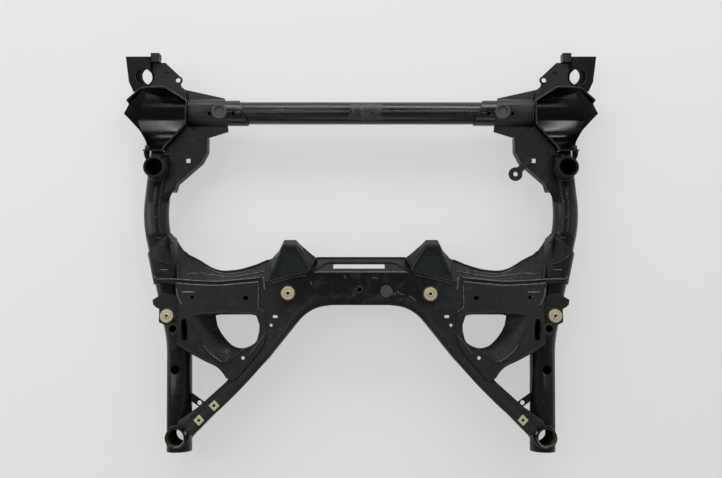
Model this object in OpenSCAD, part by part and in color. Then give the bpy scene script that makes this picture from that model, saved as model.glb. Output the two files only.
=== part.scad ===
// Car front subframe: welded tubes and pressed sheet, lying on its back face.
// +X is the right side, +Y the end with the front cross tube, +Z the face with the zinc nuts.
// Each side part is drawn on the right side and mirrored for the left.

/* [Side tubes] */
// Outside diameter of the bent side tubes
side_tube_od = 50; // [46:0.5:52]
// Wall of the side tubes
side_tube_wall = 3; // [2:0.25:5]
// Height of the side tube axis above the resting plane
side_tube_z = 46; // [44:0.5:48]
// Centre-line radius of the two bends
side_bend_r = 240; // [150:10:300]
// Half distance between the upper tube ends
side_top_x = 411; // [408:1:414]
// Place of the upper tube ends along the frame
side_top_y = 197; // [192:1:200]
// Half distance between the outer bends
knee_x = 423; // [419:1:427]
// Place of the outer bends along the frame
knee_y = 60; // [50:1:70]
// Half distance between the inner bends
ankle_x = 366; // [363:1:369]
// Place of the inner bends along the frame
ankle_y = -186; // [-192:1:-180]
// Half distance between the leg ends
foot_x = 361; // [358:1:364]
// Length of tube beyond the rear sleeve axis
leg_overhang = 30; // [26:1:36]

/* [Sleeves] */
// Outside diameter of the middle body sleeves
middle_sleeve_od = 43; // [40:0.5:46]
// Bore of the middle body sleeves
middle_sleeve_bore = 33; // [28:0.5:36]
// Top of the middle body sleeves above the resting plane
middle_sleeve_h = 100; // [90:1:110]
// Place of the middle body sleeves along the frame
middle_sleeve_y = 159; // [154:1:164]
// Outside diameter of the rear body sleeves
rear_sleeve_od = 40; // [37:0.5:43]
// Bore of the rear body sleeves
rear_sleeve_bore = 33; // [28:0.5:34]
// Top of the rear body sleeves above the resting plane
rear_sleeve_h = 84; // [80:1:90]
// Place of the rear body sleeves along the frame
rear_sleeve_y = -374; // [-380:1:-368]
// Outside diameter of the link bushes
link_bush_od = 23; // [20:0.5:26]
// Bore of the link bushes
link_bush_bore = 13; // [10:0.5:16]
// How far a link bush stands above its side tube
link_bush_stand = 14; // [10:1:18]
// Place of the link bushes along the frame
link_bush_y = -163; // [-168:1:-160]

/* [Front cross tube] */
// Outside diameter of the cross tube
cross_tube_od = 46; // [42:0.5:50]
// Wall of the cross tube
cross_tube_wall = 3; // [2:0.25:5]
// Place of the cross tube along the frame
cross_tube_y = 282; // [278:1:286]
// Height of the cross tube axis
cross_tube_z = 50; // [48:0.5:52]
// Wall of the collar tubes
collar_wall = 3; // [2:0.25:4]
// Half distance between the open collar ends
collar_x = 244; // [236:1:252]
// How far the open collar end is cut on the skew
collar_skew = 20; // [0:1:30]
// How deep the cross tube goes into its collars
collar_depth = 56; // [40:1:80]

/* [Corner pockets] */
// Inside radius of the pocket trough
pocket_r = 64; // [62:0.5:66]
// Height of the pocket rim
pocket_rim_z = 86; // [82:1:90]
// How far the trough axis lies above the rim
pocket_axis_rise = 4; // [2:0.5:8]
// Half distance between the inner pocket walls
pocket_x = 355; // [352:1:358]

/* [Front mounts] */
// Bore of the front mount sleeves
front_sleeve_bore = 34; // [30:0.5:36]
// Wall of the front mount sleeves
front_sleeve_wall = 3; // [2:0.25:5]
// Length of the front mount sleeves
front_sleeve_l = 50; // [40:1:60]
// Half distance between the front mount bores
front_mount_x = 448; // [445:1:451]
// Place of the front mount bores along the frame
front_mount_y = 352; // [350:1:356]
// Height of the front mount plate at its bore
front_mount_z = 74; // [70:1:78]
// Tilt of the front mount plates
front_mount_tilt = 19; // [14:1:24]

/* [Crossmember] */
// Thickness of the pressed sheet
sheet_t = 3; // [2.5:0.25:4]
// Height of the shell floor
shell_floor_z = 14; // [10:1:16]
// Height of the seam between shell and plates
seam_z = 78; // [77:0.5:84]
// Height of the rim of the drawn D-shaped opening
drawn_z = 50; // [44:1:60]
// Width of the seam flange
flange_w = 10; // [6:1:12]
// How far the mount towers reach up the frame past the crossmember edge
tower_reach = 33; // [26:1:40]
// Height of the raised strip on the arms
arm_strip_h = 2; // [1:0.25:3]

/* [Small parts] */
// Radius of the zinc flange nuts
zinc_nut_r = 13; // [11:0.5:15]
// Thickness of the zinc flange nuts
zinc_nut_t = 4; // [3:0.5:6]
// Bore radius of the zinc flange nuts
zinc_nut_bore_r = 3; // [2:0.5:6]
// Side of the square clip nuts
clip_nut_side = 15; // [12:0.5:17]
// Thickness of the clip nuts
clip_nut_t = 4; // [3:0.5:6]
// Bore radius of the clip nuts
clip_nut_bore_r = 3; // [2:0.25:4]
// Outside diameter of the weld nut
weld_nut_od = 16; // [13:0.5:18]
// Bore of the weld nut
weld_nut_bore = 8; // [6:0.5:10]
// Radius of the round plugs on the tube brackets
bracket_plug_r = 15; // [13:0.5:16]
// Radius of the grey plug in the crossmember plate
grey_plug_r = 12; // [10:0.5:14]
// Length of the plain label
label_l = 104; // [90:1:110]
// Height of the plain label
label_h = 20; // [16:1:24]

/* [Hidden] */
$fn = 64;
black = "#1c1d20";
zinc = "#c9bd84";
grey = "#6f7072";
white = "#f2f2ee";
// Clearance between pieces that are welded or pressed together
weld_gap = 0.2;
// How much wider a hole in the sheet is than the nut bore above it, in radius
nut_clear = 1;
// Overlap of a cut past the face that it opens
cut = 1;
// Height and width past every solid, for through cuts
far = 600;
arc_steps = 5;
// The bends of a tube swell a little and lap over its straight stretches
bend_lap = 2;
bend_swell = 0.1;

side_r = side_tube_od / 2;
side_top_z = side_tube_z + side_r;
leg_end_y = rear_sleeve_y - leg_overhang;
side_path = [
    [side_top_x, side_top_y],
    [knee_x, knee_y],
    [ankle_x, ankle_y],
    [foot_x, leg_end_y]
];
middle_sleeve = [tube_x(middle_sleeve_y), middle_sleeve_y];
rear_sleeve = [tube_x(rear_sleeve_y), rear_sleeve_y];
link_bush = [tube_x(link_bush_y), link_bush_y];
link_bush_foot = side_tube_z - side_r - sheet_t;

collar_bore = cross_tube_od + 2 * weld_gap;
collar_od = collar_bore + 2 * collar_wall;
hat_r = collar_od / 2 + weld_gap;
hat_top_z = cross_tube_z + hat_r + sheet_t;

pocket_axis_z = pocket_rim_z + pocket_axis_rise;
pocket_y = cross_tube_y - 21;
pocket_floor_z = pocket_axis_z - pocket_r - sheet_t;
front_sleeve_od = front_sleeve_bore + 2 * front_sleeve_wall;

plate_z = seam_z + sheet_t;
end_plate_z = plate_z + sheet_t;
gusset_z = max(side_top_z + 2, cross_tube_z + 2 * sheet_t);
tab_z = side_top_z + weld_gap + sheet_t;

// Where the upper edge of the shell meets the seam in the middle, and how far it leans back
seam_y = -50;
lean = 34;
arm_root_y = -114;

// The front clip is the foremost point and the leg end the rearmost one
clip_y = front_mount_y + 32;
clip_l = 18;
front_edge_y = clip_y + clip_l;
mid_y = (front_edge_y + leg_end_y) / 2;

// Centre line of a side tube at a place along the frame
function tube_x(y) = lookup(y, [[leg_end_y, foot_x], [ankle_y, ankle_x], [knee_y, knee_x], [side_top_y, side_top_x]]);

// Inner edge of a side tube between its bends, with a gap beside it
side_lean = atan2(knee_x - ankle_x, knee_y - ankle_y);
function inner_edge(y, gap) = tube_x(y) - (side_r + gap) / cos(side_lean);

function unit(v) = v / norm(v);
function heading(a, b) = atan2(b.y - a.y, b.x - a.x);

// Signed angle from one heading to the next
function turn_at(path, i) =
    let (d = heading(path[i], path[i + 1]) - heading(path[i - 1], path[i]))
    d > 180 ? d - 360 : d < -180 ? d + 360 : d;
function bend_run(path, i, r) = i <= 0 || i >= len(path) - 1 ? 0 : r * tan(abs(turn_at(path, i)) / 2);

// Outlines are rows of x, y and corner radius
function corner(before, at, after, r) =
    let (
        a = unit(before - at),
        b = unit(after - at),
        half = acos(a * b) / 2,
        centre = at + unit(a + b) * r / sin(half),
        from = at + a * r / tan(half) - centre,
        to = at + b * r / tan(half) - centre,
        start = atan2(from.y, from.x),
        turn = atan2(from.x * to.y - from.y * to.x, from * to)
    )
    [for (i = [0:arc_steps]) centre + r * [cos(start + turn * i / arc_steps), sin(start + turn * i / arc_steps)]];
function flat(row) = [row.x, row.y];
function rounded(rows) =
    let (n = len(rows))
    [
        for (i = [0:n - 1])
            each rows[i].z > 0
                ? corner(flat(rows[(i + n - 1) % n]), flat(rows[i]), flat(rows[(i + 1) % n]), rows[i].z)
                : [flat(rows[i])]
    ];

// The whole outline from its right half, which starts and ends on the middle plane
function both_sides(half) =
    concat(half, [for (i = [len(half) - 1:-1:0]) if (half[i].x > 0) [-half[i].x, half[i].y]]);
function area(p) =
    let (n = len(p))
    [for (i = 0, s = 0; i <= n; s = s + (i < n ? p[i].x * p[(i + 1) % n].y - p[(i + 1) % n].x * p[i].y : 0), i = i + 1) s][n];
function ccw(p) = area(p) < 0 ? [for (i = [len(p) - 1:-1:0]) p[i]] : p;
function left_of(a, b) = let (d = unit(b - a)) [-d.y, d.x];

// An anticlockwise outline moved inwards, or outwards where the distance is negative
function inset(p, d) =
    let (n = len(p))
    [
        for (i = [0:n - 1])
            let (u = left_of(p[(i + n - 1) % n], p[i]), v = left_of(p[i], p[(i + 1) % n]))
            p[i] + (u + v) * d / (1 + u * v)
    ];

// Clearance of the shell ends beside the side tubes
end_gap = 1;
// Thickness of the leaning wall along the frame
lean_wall = sheet_t * 1.25;
// How far the leaning wall stays inside the outline of the shell
lean_trim = 0.3;
shell_end_y = 26;

// Line of the seam from the middle plane: x and the place along the frame from the middle of the seam
seam_line = [[0, 0], [90, 0], [184, -19], [228, -24], [285, -29], [335, -27], [371, -24]];
function seam_at(x) = seam_y + lookup(x, seam_line);

// Saddle-shaped back edge of the shell floor, in the same terms
back_edge = [
    [0, lean], [90, lean], [184, lean - 1], [200, 26], [216, 19], [234, 13], [250, 8.5], [267, 6], [285, 5],
    [300, 7.5], [311, 12], [323, 19], [335, 27], [348, 34], [360, 40], [370, 49], [378, 60]
];
lean_count = len(back_edge);

// Past this place the leaning wall fans out from the seam to the ear beside the side tube
fan_x = 352;
fan_share = 0.3;
function fan_at(x) = min(x, fan_x + (x - fan_x) * fan_share);

// Right half of the crossmember: x and y at the seam, x and y at the floor, corner radius
shell_rows = [
    for (p = back_edge) [fan_at(p.x), seam_at(p.x), p.x, seam_y + p.y, 0],
    [inner_edge(seam_y - 24, end_gap), seam_y - 24, inner_edge(shell_end_y, end_gap), shell_end_y, 0],
    [inner_edge(ankle_y, end_gap), ankle_y, inner_edge(ankle_y, end_gap), ankle_y, 0],
    [ankle_x - 34, -212, ankle_x - 34, -212, 30],
    [280, -238, 280, -238, 20],
    [260, -262, 260, -262, 6],
    [rear_sleeve.x - 52, rear_sleeve.y + 67, rear_sleeve.x - 52, rear_sleeve.y + 67, 0],
    [rear_sleeve.x - 29, rear_sleeve.y + 42, rear_sleeve.x - 29, rear_sleeve.y + 42, 0],
    [foot_x - side_r - end_gap, rear_sleeve.y + 10, foot_x - side_r - end_gap, rear_sleeve.y + 10, 0],
    [rear_sleeve.x - 32, rear_sleeve.y + 5, rear_sleeve.x - 32, rear_sleeve.y + 5, 0],
    [rear_sleeve.x - 69, rear_sleeve.y + 43, rear_sleeve.x - 69, rear_sleeve.y + 43, 0],
    [rear_sleeve.x - 89, rear_sleeve.y + 61, rear_sleeve.x - 89, rear_sleeve.y + 61, 0],
    [187, -222, 187, -222, 0],
    [101, arm_root_y, 101, arm_root_y, 80],
    [0, arm_root_y, 0, arm_root_y, 0]
];
seam_outline = ccw(both_sides(rounded([for (s = shell_rows) [s[0], s[1], s[4]]])));
floor_outline = ccw(both_sides(rounded([for (s = shell_rows) [s[2], s[3], s[4]]])));

// The crossmember plate follows the seam outline up to its lap with the end plate
lap_x = 213;
lap_w = 10;
plate_rows = [
    [0, seam_y, 0],
    [90, seam_y, 0],
    [184, seam_at(184), 0],
    [lap_x, seam_at(lap_x), 0],
    [lap_x, -125, 4],
    [196, -128, 4],
    [193, -162, 0],
    [200, -192, 0],
    [228, -228, 0],
    [266, -267.5, 0],
    [rear_sleeve.x - 52, rear_sleeve.y + 67, 0],
    [rear_sleeve.x - 28, rear_sleeve.y + 42, 0],
    [rear_sleeve.x - 16, rear_sleeve.y + 10, 0],
    [rear_sleeve.x - 32, rear_sleeve.y + 5, 0],
    [rear_sleeve.x - 69, rear_sleeve.y + 43, 0],
    [rear_sleeve.x - 89, rear_sleeve.y + 61, 0],
    [187, -222, 0],
    [101, arm_root_y, 80],
    [0, arm_root_y, 0]
];
plate_outline = ccw(both_sides(rounded(plate_rows)));

end_rows = [
    [lap_x - lap_w, seam_at(lap_x - lap_w), 0],
    [228, seam_at(228), 0],
    [285, seam_at(285), 0],
    [335, seam_at(335), 0],
    [tube_x(seam_y) - 28, seam_y - 24, 0],
    [ankle_x - 3, -105, 0],
    [ankle_x - 4, -125, 0],
    [ankle_x - 2, -190, 0],
    [ankle_x - 34, -212, 30],
    [280, -238, 20],
    [260, -262, 6],
    [251, -265, 0],
    [219, -229, 0],
    [193, -194, 0],
    [187, -162, 0],
    [190, -128, 4],
    [lap_x - lap_w, -121, 4]
];
end_outline = ccw(rounded(end_rows));

// The drawn opening: x and y at its rim, x and y at the plate, corner radius
drawn_rows = [
    [294, -135, 329, -136, 4],
    [288, -164, 319, -175, 30],
    [271, -188, 297, -207, 20],
    [254, -201, 268, -228, 8],
    [232, -203, 238, -209, 12],
    [207, -188, 206, -190, 20],
    [201, -160, 199, -160, 20],
    [211, -135, 208, -134, 8]
];
rim_outline = ccw(rounded([for (s = drawn_rows) [s[0], s[1], s[4]]]));
draw_outline = ccw(rounded([for (s = drawn_rows) [s[2], s[3], s[4]]]));

// A mount tower: x and y at its face, x and y at its back, corner radius
tower_rows = [
    [186, seam_at(184) - sheet_t, 186, seam_at(184) - sheet_t, 0],
    [178, seam_y - 4, 184, seam_y + lean - 8, 6],
    [161, seam_y + lean + tower_reach - 33, 167, seam_y + lean + tower_reach - 22, 6],
    [155, seam_y + lean + tower_reach - 15, 157, seam_y + lean + tower_reach, 4],
    [131, seam_y + lean + tower_reach - 15, 133, seam_y + lean + tower_reach, 4],
    [123, seam_y + lean + tower_reach - 22, 122, seam_y + lean + tower_reach - 11, 6],
    [100, seam_y + 8, 100, seam_y + lean + 3, 6],
    [108, seam_y - 6, 90, seam_y + lean - 4, 0]
];
tower_face = ccw(rounded([for (s = tower_rows) [s[0], s[1], s[4]]]));
tower_back = ccw(rounded([for (s = tower_rows) [s[2], s[3], s[4]]]));
tower_shoulder_z = drawn_z;
tower_back_z = shell_floor_z + 10;

pocket_rows = [
    [pocket_x + 123, pocket_y + 38, 0],
    [pocket_x + 97, pocket_y + 64, 8],
    [pocket_x + 75, pocket_y + 68, 0],
    [pocket_x + 46, pocket_y + 68, 12],
    [pocket_x, pocket_y + 39, 0],
    [pocket_x, pocket_y - 12, 0],
    [pocket_x + 40, pocket_y - 57, 0],
    [pocket_x + 48, pocket_y - 72, 0],
    [pocket_x + 84, pocket_y - 76, 0],
    [pocket_x + 87, pocket_y - 62, 0],
    [pocket_x + 92, pocket_y - 41, 20],
    [pocket_x + 106, pocket_y - 17, 20],
    [pocket_x + 127, pocket_y + 12, 0],
    [pocket_x + 138, pocket_y + 20, 0],
    [pocket_x + 117, pocket_y + 27, 0]
];
pocket_outline = ccw(rounded(pocket_rows));
// The pocket is open on its outer side, past this distance from its inner wall and below its upper wall
pocket_mouth = 78;
pocket_mouth_top = 33;
pocket_hollow = [
    for (p = inset(pocket_outline, sheet_t))
        p.x > pocket_x + pocket_mouth && p.y < pocket_y + pocket_mouth_top ? p + [40, 0] : p
];

gusset_rows = [
    [pocket_x - 2 * weld_gap, pocket_y - 12 - 2 * weld_gap, 0],
    [pocket_x + 40 - 4 * weld_gap, pocket_y - 57 - 2 * weld_gap, 0],
    [pocket_x + 41.5, pocket_y - 63, 0],
    [pocket_x + 29, pocket_y - 63.5, 0],
    [tube_x(176) - 29, 176, 0],
    [tube_x(114) - 31, 114, 0],
    [tube_x(114) - 41, 114, 0],
    [tube_x(130) - 44, 130, 0],
    [tube_x(134) - 48, 134, 0],
    [324, 174, 14],
    [313, 196, 14],
    [313, 228, 4],
    [321, 229, 0]
];
gusset_outline = ccw(rounded(gusset_rows));

// Tubes and rings
module ring_2d(r_out, r_in) {
    difference() {
        circle(r_out);
        if (r_in > 0) circle(r_in);
    }
}

module rod(from, to, r_out, r_in, z) {
    translate([from.x, from.y, z])
        rotate([0, 90, heading(from, to)])
            linear_extrude(norm(to - from)) ring_2d(r_out, r_in);
}

module run_tube(path, bend, r_out, r_in, z) {
    for (i = [0:len(path) - 2]) {
        way = unit(path[i + 1] - path[i]);
        from = path[i] + way * max(bend_run(path, i, bend) - bend_lap, 0);
        to = path[i + 1] - way * max(bend_run(path, i + 1, bend) - bend_lap, 0);
        rod(from, to, r_out, r_in, z);
    }
    for (i = [1:len(path) - 2]) {
        aim = heading(path[i - 1], path[i]);
        turn = turn_at(path, i);
        side = turn > 0 ? 1 : -1;
        from = path[i] - unit(path[i] - path[i - 1]) * bend_run(path, i, bend);
        hub = from + side * bend * [-sin(aim), cos(aim)];
        translate([hub.x, hub.y, z])
            rotate([0, 0, aim - side * 90 + min(turn, 0)])
                rotate_extrude(angle = abs(turn))
                    translate([bend, 0]) ring_2d(r_out + bend_swell, r_in - bend_swell);
    }
}

// Room for a side tube, with sharp corners in place of its bends
module side_tube_room(gap) {
    for (i = [1:len(side_path) - 1])
        rod(side_path[i - 1], side_path[i], side_r + gap, 0, side_tube_z);
}

module upright(place, r, from, to) {
    translate([place.x, place.y, from]) cylinder(h = to - from, r = r);
}

module sleeve(place, od, bore, from, to) {
    difference() {
        upright(place, od / 2, from, to);
        upright(place, bore / 2, from - cut, to + cut);
    }
}

// Room for the three sleeves that go through a side tube
module sleeve_room(gap) {
    upright(middle_sleeve, middle_sleeve_od / 2 + gap, -cut, far);
    upright(rear_sleeve, rear_sleeve_od / 2 + gap, -cut, far);
    upright(link_bush, link_bush_od / 2 + gap, -cut, far);
}

module along_x(y, z, r, from, to) {
    translate([from, y, z]) rotate([0, 90, 0]) cylinder(h = to - from, r = r);
}

// A skin over rings of as many points each; it ends in two caps or on itself
module loft(rings, closed = false) {
    n = len(rings[0]);
    count = len(rings);
    sides = [
        for (k = [0:count - (closed ? 1 : 2)]) for (j = [0:n - 1])
            let (
                next = ((k + 1) % count) * n,
                a = k * n + j,
                b = k * n + (j + 1) % n,
                c = next + j,
                d = next + (j + 1) % n,
                rising = rings[(k + 1) % count][0].z >= rings[k][0].z
            )
            each rising ? [[a, c, d], [a, d, b]] : [[a, c, b], [b, c, d]]
    ];
    caps = [
        [for (j = [0:n - 1]) j],
        [for (j = [n - 1:-1:0]) (count - 1) * n + j]
    ];
    polyhedron(
        points = [for (ring = rings) each ring],
        faces = closed ? sides : concat(caps, sides)
    );
}

function level(z, outline) = [for (p = outline) [p.x, p.y, z]];

module slab(outline, from, to) {
    translate([0, 0, from]) linear_extrude(to - from) polygon(outline);
}

// Left and right copies
module sided(side) {
    mirror([side < 0 ? 1 : 0, 0, 0]) children();
}
right = 1;
left = -1;

module at_rest() {
    translate([0, -mid_y, 0]) children();
}

// Front cross tube and what holds it
module front_cross_tube() {
    half = collar_x + collar_depth;
    color(black)
        difference() {
            along_x(cross_tube_y, cross_tube_z, cross_tube_od / 2, -half, half);
            along_x(cross_tube_y, cross_tube_z, cross_tube_od / 2 - cross_tube_wall, -half - cut, half + cut);
            for (side = [left, right])
                sided(side) upright(collar_hole, hat_hole_r, cross_tube_z, far);
        }
}

module tube_collar(side) {
    skew = atan(collar_skew / collar_od);
    color(black)
        sided(side)
            difference() {
                along_x(cross_tube_y, cross_tube_z, collar_od / 2, collar_x - collar_skew, pocket_x - weld_gap);
                along_x(cross_tube_y, cross_tube_z, collar_bore / 2, 0, pocket_x + cut);
                upright(hat_hole, hat_hole_r, cross_tube_z, far);
                upright(collar_hole, hat_hole_r, cross_tube_z, far);
                translate([collar_x, cross_tube_y, 0])
                    rotate(-skew)
                        translate([-far, -far / 2, 0]) cube([far, far, far]);
            }
}

module hat_room(gap) {
    along_x(cross_tube_y, cross_tube_z, hat_r + sheet_t + gap, 0, pocket_x);
}

module tube_bracket(side) {
    wing = 17;
    plan = [
        [pocket_x - weld_gap, pocket_y + 30],
        [pocket_x + wing, cross_tube_y + 51],
        [pocket_x - 71, cross_tube_y + 31],
        [pocket_x - 74, cross_tube_y + 20],
        [pocket_x - 80, cross_tube_y - 40],
        [pocket_x - 36, cross_tube_y - 54],
        [pocket_x - weld_gap, cross_tube_y - 36]
    ];
    color(black)
        sided(side)
            difference() {
                intersection() {
                    union() {
                        hat_room(0);
                        translate([0, cross_tube_y - far / 2, cross_tube_z]) cube([pocket_x + wing, far, sheet_t]);
                    }
                    slab(plan, cross_tube_z, hat_top_z + cut);
                }
                along_x(cross_tube_y, cross_tube_z, hat_r, 0, pocket_x + cut);
                bracket_plug_room(weld_gap);
                pocket_room(weld_gap);
                upright(hat_hole, hat_hole_r, cross_tube_z, far);
            }
}

// Drain holes in the upper side of the bracket and of the collar
hat_hole = [pocket_x - 45, cross_tube_y - 8];
collar_hole = [collar_x + 18, cross_tube_y - 7];
hat_hole_r = 3.5;
bracket_plug = [pocket_x - 66, cross_tube_y - 5];
bracket_plug_rim = 4;
module bracket_plug_room(gap) {
    upright(bracket_plug, bracket_plug_r + gap, cross_tube_z + hat_r, hat_top_z + 2 * sheet_t);
}

module bracket_plugs() {
    color(grey)
        for (side = [left, right])
            sided(side)
                difference() {
                    bracket_plug_room(0);
                    upright(bracket_plug, bracket_plug_r - bracket_plug_rim, hat_top_z + sheet_t, far);
                }
}

// Front corners
module pocket_room(gap) {
    intersection() {
        slab(inset(pocket_outline, -gap), pocket_floor_z - gap, pocket_rim_z + gap);
        along_x(pocket_y, pocket_axis_z, pocket_r + sheet_t + gap, 0, far);
    }
}

module corner_pocket(side) {
    color(black)
        sided(side)
            difference() {
                pocket_room(0);
                intersection() {
                    slab(pocket_hollow, pocket_floor_z - cut, pocket_rim_z + cut);
                    along_x(pocket_y, pocket_axis_z, pocket_r, 0, far);
                }
                upright(middle_sleeve, middle_sleeve_od / 2 + weld_gap, -cut, far);
                side_tube_room(weld_gap);
            }
}

module on_front_mount() {
    translate([front_mount_x, front_mount_y, front_mount_z]) rotate([front_mount_tilt, 0, 0]) children();
}

front_inner = -14;
front_outer = 34;
front_top = 41;
front_foot = -30;
front_flange = 24;
module front_mount_bracket(side) {
    plan = [
        [front_outer, front_top],
        [front_inner, front_top],
        [front_inner, front_foot + 4],
        [front_outer - 11, front_foot],
        [front_outer - 3, front_foot + 20]
    ];
    color(black)
        sided(side)
            difference() {
                on_front_mount()
                    difference() {
                        union() {
                            slab(plan, -sheet_t, 0);
                            translate([front_inner, front_foot + 4, -front_flange])
                                cube([sheet_t, front_top - front_foot - 4, front_flange]);
                            translate([front_inner, front_top - sheet_t, -front_flange])
                                cube([front_outer - front_inner, sheet_t, front_flange]);
                        }
                        translate([0, 0, -front_flange - cut])
                            cylinder(h = front_flange + 2 * cut, d = front_sleeve_bore + 2 * weld_gap);
                        translate([0, 0, -front_flange - cut])
                            cylinder(h = front_flange + cut - sheet_t, d = front_sleeve_od + 2 * weld_gap);
                    }
                pocket_room(weld_gap);
            }
}

module front_mount_sleeve(side) {
    color(black)
        sided(side)
            on_front_mount()
                sleeve([0, 0], front_sleeve_od, front_sleeve_bore, -sheet_t - front_sleeve_l, -sheet_t);
}

ear_eye = [pocket_x + 23, front_mount_y - 5];
ear_eye_r = 9;
ear_hole_r = 4.8;
ear_z = front_mount_z - 8;
module ear_plate(side) {
    edge = front_mount_x + front_inner;
    plan = [
        [edge, clip_y],
        [edge - 29, clip_y],
        [ear_eye.x - 6, ear_eye.y + 6],
        [ear_eye.x - 6, ear_eye.y - 8],
        [ear_eye.x - 9, ear_eye.y - 20],
        [ear_eye.x - 11, ear_eye.y - 40],
        [edge, ear_eye.y - 24]
    ];
    color(black)
        sided(side)
            difference() {
                union() {
                    slab(plan, ear_z, ear_z + sheet_t);
                    upright(ear_eye, ear_eye_r, ear_z, ear_z + sheet_t);
                }
                upright(ear_eye, ear_hole_r, ear_z - cut, far);
                translate([edge - 38, clip_y - 30, ear_z + sheet_t / 2]) cube([10, 10, sheet_t]);
                pocket_room(weld_gap);
                on_front_mount()
                    upright([0, 0], front_sleeve_od / 2 + weld_gap, -far / 2, far / 2);
            }
}

clip_w = 18;
clip_h = 18;
clip_ribs = 4;
module front_clips() {
    edge = front_mount_x + front_inner;
    pitch = clip_l / clip_ribs;
    color(grey)
        for (side = [left, right])
            sided(side)
                difference() {
                    translate([edge - clip_w, clip_y, ear_z + sheet_t - clip_h / 2]) cube([clip_w, clip_l, clip_h]);
                    for (i = [1:clip_ribs - 1])
                        translate([edge - clip_w - cut, clip_y + i * pitch, ear_z + sheet_t + clip_h / 2])
                            rotate([0, 90, 0]) cylinder(h = clip_w + 2 * cut, r = pitch / 4);
                }
}

// Side tubes and their sleeves
leg_hole_y = -244;
leg_hole_r = 9;
module side_tube(side) {
    color(black)
        sided(side)
            difference() {
                run_tube(side_path, side_bend_r, side_r, side_r - side_tube_wall, side_tube_z);
                sleeve_room(weld_gap);
                upright([tube_x(leg_hole_y) + 4, leg_hole_y], leg_hole_r, side_tube_z, far);
            }
}

module middle_body_sleeve(side) {
    color(black)
        sided(side) sleeve(middle_sleeve, middle_sleeve_od, middle_sleeve_bore, 0, middle_sleeve_h);
}

module rear_body_sleeve(side) {
    color(black)
        sided(side) sleeve(rear_sleeve, rear_sleeve_od, rear_sleeve_bore, 0, rear_sleeve_h);
}

module link_bolt_bush(side) {
    color(black)
        sided(side) sleeve(link_bush, link_bush_od, link_bush_bore, link_bush_foot, side_top_z + link_bush_stand);
}

gusset_depth = gusset_z - cross_tube_z - sheet_t;
gusset_hole = [351, 176];
gusset_hole_side = 9;
module gusset_plate(side) {
    color(black)
        sided(side)
            difference() {
                slab(gusset_outline, gusset_z - gusset_depth, gusset_z + sheet_t);
                slab(inset(gusset_outline, sheet_t), gusset_z - gusset_depth - cut, gusset_z);
                translate([gusset_hole.x, gusset_hole.y, 0])
                    translate([-gusset_hole_side / 2, -gusset_hole_side / 2, 0])
                        cube([gusset_hole_side, gusset_hole_side, far]);
            }
}

line_eye = [313, 148];
line_root = [340, 176];
line_eye_r = 14;
line_hole_r = 4.7;
line_arm_w = 14;
module line_bracket() {
    foot = gusset_z + sheet_t;
    color(black)
        difference() {
            union() {
                upright(line_eye, line_eye_r, foot, foot + sheet_t);
                upright(line_root, line_arm_w / 2, foot, foot + sheet_t);
                translate([line_eye.x, line_eye.y, foot])
                    rotate(heading(line_eye, line_root))
                        translate([0, -line_arm_w / 2, 0])
                            cube([norm(line_root - line_eye), line_arm_w, sheet_t]);
            }
            upright(line_eye, line_hole_r, 0, far);
        }
}

// Crossmember pressings
// The hood laps over the side tube; its inner tip reaches further up the tube than its outer side
hood_tip_y = 30;
hood_outer_y = -22;
hood_end_y = seam_y - 18;
module hood() {
    start = [tube_x(hood_tip_y), hood_tip_y];
    end = [tube_x(hood_end_y), hood_end_y];
    hood_r = side_r + weld_gap + sheet_t;
    beyond = [
        [start.x - hood_r - cut, hood_tip_y],
        [start.x + hood_r, hood_outer_y],
        [start.x + hood_r, far],
        [start.x - hood_r - cut, far]
    ];
    difference() {
        rod(start, end, hood_r, side_r + weld_gap, side_tube_z);
        slab(beyond, 0, far);
        translate([0, -far, -far]) cube([far, 2 * far, far + side_tube_z - side_r / 2]);
    }
}

// Room for the crossmember beside a tower
module crossmember_room(gap) {
    near = [for (i = [0:4]) shell_rows[i]];
    root = [[near[4][0], arm_root_y], [0, arm_root_y]];
    rim = inset(ccw(concat([for (s = near) [s[0], s[1]]], root)), -gap);
    floor = inset(ccw(concat([for (s = near) [s[2], s[3]]], root)), -gap);
    loft([level(shell_floor_z - gap, floor), level(seam_z, rim), level(plate_z, rim)]);
}

// What lies beyond the leaning upper wall of the shell, past its top, its floor and its ends
module beyond_lean(shift) {
    past = 0.01;
    end_past = 3;
    drop = (seam_z - shell_floor_z) * past;
    first = shell_rows[0] - [cut, 0, cut, 0, 0];
    end = shell_rows[lean_count - 1];
    last = end + (shell_rows[lean_count] - end) * end_past;
    rows = concat([first], [for (i = [1:lean_count - 1]) shell_rows[i]], [last]);
    for (side = [left, right])
        sided(side)
            translate([0, -shift, 0])
                loft([
                    for (s = rows)
                        let (
                            seam = [s[0], s[1]],
                            floor = [s[2], s[3]],
                            top = seam + (seam - floor) * past,
                            foot = floor + (floor - seam) * past
                        )
                        [
                            [top.x, top.y, seam_z + drop],
                            [foot.x, foot.y, shell_floor_z - drop],
                            [foot.x, far, shell_floor_z - drop],
                            [top.x, far, seam_z + drop]
                        ]
                ]);
}

module seam_flange() {
    top_edge = [
        for (x = [lap_x - lap_w - 4, 228, 285, 335]) [x, seam_at(x)],
        [tube_x(seam_y) + 8, seam_y - 19]
    ];
    strip = concat(
        [for (p = top_edge) p - [0, sheet_t / 2]],
        [for (i = [len(top_edge) - 1:-1:0]) top_edge[i] + [0, flange_w]]
    );
    slab(ccw(strip), seam_z - sheet_t, seam_z);
}

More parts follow.
